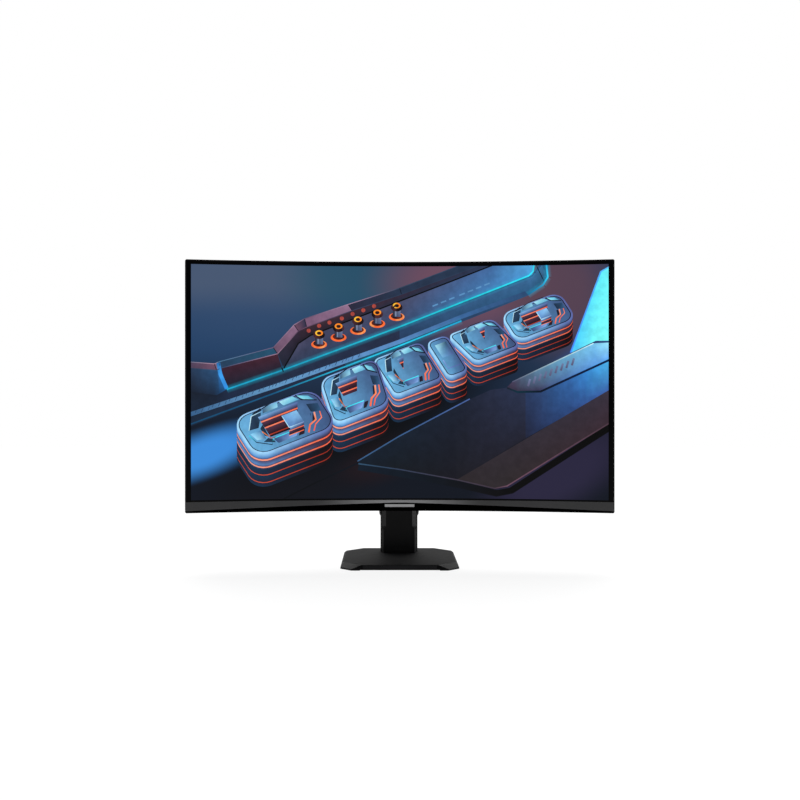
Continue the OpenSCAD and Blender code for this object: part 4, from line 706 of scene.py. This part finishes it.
patches = [  # panels let into the top, in shares of its half sizes
    ([(-0.84, -0.1), (-0.62, -0.66), (-0.36, -0.7), (-0.62, -0.06)],
     ["28405c", "20344c", "2c4a68", "1a2a3e"]),
    ([(-0.3, -0.84), (0.06, -0.84), (0.02, -0.62), (-0.36, -0.6)], ["4a6a90", "7cc4e4", "9adcf4", "35506e"]),
    ([(0.1, -0.82), (0.42, -0.84), (0.52, -0.6), (0.14, -0.6)], ["b4f0fc", "8cdcf0", "58a8cc", "84d0ec"]),
    ([(0.5, -0.82), (0.74, -0.62), (0.84, -0.3), (0.62, -0.5)], ["84e4f4", "62c0e0", "3c7ca8", "90dcf0"]),
    ([(0.6, -0.3), (0.84, -0.16), (0.82, 0.2), (0.6, 0.1)], ["20344e", "2a4a6c", "345c84", "182638"]),
    ([(-0.86, 0.06), (-0.62, 0.06), (-0.6, 0.5), (-0.8, 0.42)], ["8ad4fa", "4a84b8", "3c6490", "a8e4ff"]),
    ([(-0.46, 0.62), (0.16, 0.62), (0.02, 0.86), (-0.42, 0.88)], ["3c5484", "6c94d8", "88b0ec", "30446c"]),
    ([(-0.58, -0.74), (-0.34, -0.86), (-0.34, -0.72), (-0.56, -0.6)],
     ["16243a", "1c3048", "2a4460", "142032"]),
    ([(-0.6, 0.0), (-0.5, -0.16), (-0.52, 0.46), (-0.6, 0.36)], ["24384e", "1a2a3e", "16243a", "2c4660"]),
    ([(0.16, 0.66), (0.3, 0.66), (0.2, 0.9), (0.06, 0.9)], ["1a1c2c", "241c2c", "301c2a", "161824"]),
    ([(0.56, 0.16), (0.62, 0.14), (0.6, 0.46), (0.5, 0.54)], ["1c2438", "221c2e", "2c1c2a", "181e30"]),
    ([(-0.56, 0.5), (-0.48, 0.62), (-0.46, 0.8), (-0.7, 0.6)], ["1c3048", "22384e", "182a3e", "2a4a66"])]
patchLines = [  # path, width, colours
    ([(-0.84, -0.1), (-0.62, -0.66), (-0.36, -0.7)], 0.16, ["b8ecff", "d0f4ff", "78b4dc"]),
    ([(-0.56, -0.72), (0.0, -0.92), (0.44, -0.9)], 0.2, ["10182a", "182438", "10182a"]),
    ([(0.5, -0.84), (0.56, -0.56), (0.86, -0.3)], 0.22, ["0c1420", "101a2a", "0c1420"]),
    ([(-0.9, 0.1), (-0.84, 0.5), (-0.56, 0.84), (-0.46, 0.6), (0.16, 0.6)], 0.18,
     ["30dcf4", "1c2c44", "101c30", "38e0f8", "48f0ff"]),
    ([(0.3, 0.92), (0.42, 0.62), (0.6, 0.5), (0.66, 0.16)], 0.34, ["ff6a3c", "ff7a50", "ff8a5c", "ffa888"]),
    ([(0.42, 0.94), (0.54, 0.68), (0.74, 0.5), (0.78, 0.2)], 0.22, ["ff5a30", "ff6c44", "ff8458", "ff7048"]),
    ([(-0.6, 0.14), (-0.5, 0.56), (-0.36, 0.6)], 0.2, ["e8824a", "a85a48", "40303c"])]


def toneAt(kind, share):  # a colour between a block's lit left side and its dark right side
    left, middle, right = (Vector(hexColour(tone)) for tone in blockTones[kind])
    share = min(max(share, 0), 1) * 2
    return tuple(left.lerp(middle, share) if share < 1 else middle.lerp(right, share - 1))


def tintWall(faces, tint, foot, head, low, wide, split):  # head colour over the split height
    for face in faces:
        for loop in face.loops:
            kind = head if loop.vert.co.z > split else foot
            loop[tint] = toneAt(kind, (loop.vert.co.x - low) / wide)


def raiseFace(bm, face, rise):  # extrudes a face, and gives its new walls and the raised face
    made = bmesh.ops.extrude_face_region(bm, geom=[face])
    top = [item for item in made["geom"] if isinstance(item, bmesh.types.BMFace)][0]
    bmesh.ops.translate(bm, vec=(0, 0, rise), verts=top.verts)
    if face.is_valid:
        bmesh.ops.delete(bm, geom=[face], context="FACES_ONLY")
    return [side for edge in top.edges for side in edge.link_faces if side is not top], top


def joinInto(whole, bm):
    holder = bpy.data.meshes.new("holder")
    bm.to_mesh(holder)
    bm.free()
    whole.from_mesh(holder)
    bpy.data.meshes.remove(holder)


def bandFace(bm, tint, start, stop, drop, fall, depth, tones):  # one band of a wall, between two heights
    top, foot = Vector((0, drop)), Vector((0, drop + fall))
    corners = [start - top, stop - top, stop - foot, start - foot]
    face = bm.faces.new([bm.verts.new((c.x, depth, c.y)) for c in corners])
    paint(face, tint, tones)


def bandTones(head, foot, near, far):  # tones of a band's corners, from its shares along the block
    return [toneAt(head, near), toneAt(head, far), toneAt(foot, far), toneAt(foot, near)]


def keepInside(bm, outline):  # cuts away what lies outside a convex outline in the picture's plane
    middle = sum(outline, Vector((0, 0))) / len(outline)
    for index, corner in enumerate(outline):
        run = outline[(index + 1) % len(outline)] - corner
        outward = Vector((run.y, -run.x))
        if outward.dot(corner - middle) < 0:
            outward = -outward
        bmesh.ops.bisect_plane(bm, geom=bm.verts[:] + bm.edges[:] + bm.faces[:],
                               plane_co=(corner.x, 0, corner.y), plane_no=(outward.x, 0, outward.y),
                               clear_outer=True)


allBlocks = bmesh.new()
allBlocks.loops.layers.float_color.new("tint")
along = Vector((math.cos(math.radians(blockPlan["slope"])), math.sin(math.radians(blockPlan["slope"]))))
across = Vector(blockPlan["across"])
for number, spec in enumerate(blocks):
    wide, deep = spec["size"]
    tall = spec["tall"]
    lean = spec.get("lean", 0) * wide
    origin = Vector(spec["at"]) - Vector((0, tall))
    base = blockPlan["firstLayer"] + (len(blocks) - 1 - number) * blockPlan["layersEach"]

    def onPicture(x, y):  # a point of the block's top, in picture units
        return along * x + across * y + origin + Vector((0, tall))

    bm = bmesh.new()
    tint = bm.loops.layers.float_color.new("tint")
    outline = [(-wide / 2 + lean, -deep / 2), (wide / 2 + lean, -deep / 2), (wide / 2 - lean, deep / 2),
               (-wide / 2 - lean, deep / 2)]
    verts = [bm.verts.new((x, y, 0)) for x, y in outline]
    bm.faces.new(verts)
    bmesh.ops.bevel(bm, geom=verts, offset=spec["corner"] * deep, affect="VERTICES", segments=6,
                    profile=0.5, material=-1)
    top = bm.faces[:][0]
    height = 0
    for share, foot, head in wallLevels:
        walls, top = raiseFace(bm, top, share * tall)
        tintWall(walls, tint, foot, head, -wide / 2, wide, height + share * tall / 2)
        height += share * tall
    for inset, kind in ((blockPlan["rim"], "rim"), (blockPlan["groove"], "groove")):
        ring = bmesh.ops.inset_region(bm, faces=[top], thickness=inset, use_even_offset=True)["faces"]
        tintWall(ring, tint, kind, kind, -wide / 2, wide, 0)
    tintWall([top], tint, "top", "top", -wide / 2, wide, 0)
    oblique = Matrix(((along.x, across.x, 0, origin.x), (0, 0, 2 / tall, base),
                      (along.y, across.y, 1, origin.y), (0, 0, 0, 1)))
    bmesh.ops.transform(bm, matrix=oblique, verts=bm.verts)
    bm.normal_update()
    hidden = [face for face in bm.faces if face.normal.y * top.normal.y < 0]  # walls at the back of the block
    bmesh.ops.delete(bm, geom=hidden, context="FACES")
    if spec["size"][0] > 6:
        for shape, tones in patches:
            points = [tuple(onPicture(x * wide / 2 - y * lean, y * deep / 2)) for x, y in shape]
            flatShape(bm, tint, points, base + 3, tones)
        for shape, width, tones in patchLines:
            points = [tuple(onPicture(x * wide / 2 - y * lean, y * deep / 2)) for x, y in shape]
            ribbonLine(bm, tint, points, width * deep / 11, base + 4, tones)
    else:
        flatShape(bm, tint, [tuple(onPicture(x, y)) for x, y in ((-1.5, -3.6), (1.3, -3.6), (1.3, 0.6),
                                                                 (-1.5, 0.6))], base + 3,
                  ["a8e8fc", "30506c", "4c5c94", "6aa8d8"])
        ribbonLine(bm, tint, [tuple(onPicture(x, y)) for x, y in ((-1.7, 1.2), (-1.7, 4), (1.5, 4.1))],
                   0.25, base + 4, ["8aa8e8", "6a84c8", "4c5a94"])
    joinInto(allBlocks, bm)
    if "opening" in spec:
        x0, x1, y0, y1 = (part * size / 2 for part, size in zip(spec["opening"], (wide, wide, deep, deep)))
        mouth = [onPicture(x0, y0), onPicture(x1, y0), onPicture(x1, y1), onPicture(x0, y1)]
        hollow = bmesh.new()
        tint = hollow.loops.layers.float_color.new("tint")
        drop = 0
        for share, foot, head in openingBands:
            fall = share * tall
            bandFace(hollow, tint, mouth[0], mouth[1], drop, fall, base + 5, bandTones(head, foot, 0.3, 0.8))
            bandFace(hollow, tint, mouth[3], mouth[0], drop, fall, base + 5, bandTones(head, foot, 0.9, 0.9))
            drop += fall
        keepInside(hollow, mouth)
        joinInto(allBlocks, hollow)
    if "core" in spec:
        core = bmesh.new()
        tint = core.loops.layers.float_color.new("tint")
        x0, x1, y0, y1 = (part * size / 2 for part, size in zip(spec["core"], (wide, wide, deep, deep)))
        head = [onPicture(x0, y0), onPicture(x1, y0), onPicture(x1, y1), onPicture(x0, y1)]
        drop = 0
        for share, foot, crown in openingBands[:5]:
            fall = share * tall * blockPlan["coreShare"]
            bandFace(core, tint, head[3], head[2], drop, fall, base + 6, bandTones(crown, foot, 0.2, 0.9))
            drop += fall
        flatShape(core, tint, [tuple(c) for c in head], base + 6, ["6aa4dc", "8cc8f4", "4c6ca0", "5c88c4"])
        ribbonLine(core, tint, [tuple(c) for c in (head[0], head[3], head[2])], 0.2, base + 7,
                   ["a8e0ff", "c0ecff", "7c98d0"])
        joinInto(allBlocks, core)
toGlass(allBlocks)
addPiece(allBlocks, "pictureBlocks", "head", [litMaterial("blockPaint")], smooth=False)
print("picture blocks laid")


# coil under the latch, wound to fill the box of the release spring, which it replaces

coilPlan = {"turns": 5, "steps": 24, "sides": 8, "wire": 0.00035, "travel": 0.004}
low, high = (Vector(corner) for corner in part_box("release_spring"))
wire = coilPlan["wire"]
reach = (high.x - low.x) / 2 - wire
rise = high.z - low.z - 2 * wire
count = coilPlan["turns"] * coilPlan["steps"]
bm = bmesh.new()
rings = []
for i in range(count + 1):
    turn = 2 * math.pi * i / coilPlan["steps"]
    outward = Vector((math.cos(turn), math.sin(turn), 0))
    centre = Vector(((low.x + high.x) / 2, (low.y + high.y) / 2,
                     low.z + wire + rise * i / count)) + outward * reach
    ring = []
    for k in range(coilPlan["sides"]):
        around = 2 * math.pi * k / coilPlan["sides"]
        ring.append(bm.verts.new(centre + (outward * math.cos(around) + Vector((0, 0,
                                                                                math.sin(around)))) * wire))
    rings.append(ring)
for near, after in zip(rings, rings[1:]):
    for k in range(coilPlan["sides"]):
        step = (k + 1) % coilPlan["sides"]
        bm.faces.new((near[k], near[step], after[step], after[k]))
bm.faces.new(rings[0])
bm.faces.new(rings[-1])
bmesh.ops.recalc_face_normals(bm, faces=bm.faces[:])
coil = addPiece(bm, "releaseCoil", "head", [finishes["release_spring"]])
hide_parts("release_spring")
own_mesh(coil)
print("coil wound")


# floor, light and surroundings

studioPlan = {"floor": 6.0, "around": 0.16, "floorColour": 0.14, "floorGlow": 0.86, "near": 0.2, "far": 1.1}
bm = bmesh.new()
bmesh.ops.create_grid(bm, x_segments=2, y_segments=2, size=studioPlan["floor"] / 2)
mesh = bpy.data.meshes.new("floor")
bm.to_mesh(mesh)
bm.free()
floor = bpy.data.objects.new("floor", mesh)
scene.collection.objects.link(floor)
floorMaterial, tree, shader = newMaterial("floorPale")
shader.inputs["Roughness"].default_value = 0.6
shader.inputs["Specular IOR Level"].default_value = 0.1
shader.inputs["Emission Strength"].default_value = 1.0
place = tree.nodes.new("ShaderNodeTexCoord")
far = tree.nodes.new("ShaderNodeVectorMath")
far.operation = "LENGTH"
tree.links.new(place.outputs["Object"], far.inputs[0])
fade = rampNode(tree, far.outputs["Value"], studioPlan["near"], studioPlan["far"])
grey = studioPlan["floorColour"]
glow = studioPlan["floorGlow"]
tree.links.new(mixColour(tree, fade, (grey, grey, grey, 1), (0.0, 0.0, 0.0, 1)), shader.inputs["Base Color"])
tree.links.new(mixColour(tree, fade, (glow, glow, glow, 1), (1.0, 1.0, 1.0, 1)),
               shader.inputs["Emission Color"])
mesh.materials.append(floorMaterial)

world = bpy.data.worlds.new("studio")
world.use_nodes = True
scene.world = world
tree = world.node_tree
rays = tree.nodes.new("ShaderNodeLightPath")
around = (studioPlan["around"],) * 3 + (1,)
tree.links.new(mixColour(tree, rays.outputs["Is Camera Ray"], around, (1.0, 1.0, 1.0, 1)),
               tree.nodes["Background"].inputs["Color"])

lights = {  # place, aim, width, height, watts
    "topLight": ((0, 0.75, 1.6), (0, 0.0, 0.0), 2.2, 1.4, 66),
    "rightLight": ((1.3, 0.12, 0.25), (0, 0.05, 0.1), 0.5, 0.5, 7),
    "leftLight": ((-1.3, 0.12, 0.25), (0, 0.05, 0.1), 0.5, 0.5, 3),
    "frontLight": ((0, -2.4, 1.5), (0, 0, 0.2), 1.6, 1.0, 8)}
for name, (place, aim, width, height, watts) in lights.items():
    data = bpy.data.lights.new(name, "AREA")
    data.shape = "RECTANGLE"
    data.size = width
    data.size_y = height
    data.energy = watts
    lamp = bpy.data.objects.new(name, data)
    lamp.location = place
    lamp.rotation_euler = (Vector(aim) - Vector(place)).to_track_quat("-Z", "Y").to_euler()
    scene.collection.objects.link(lamp)
print("studio lit")
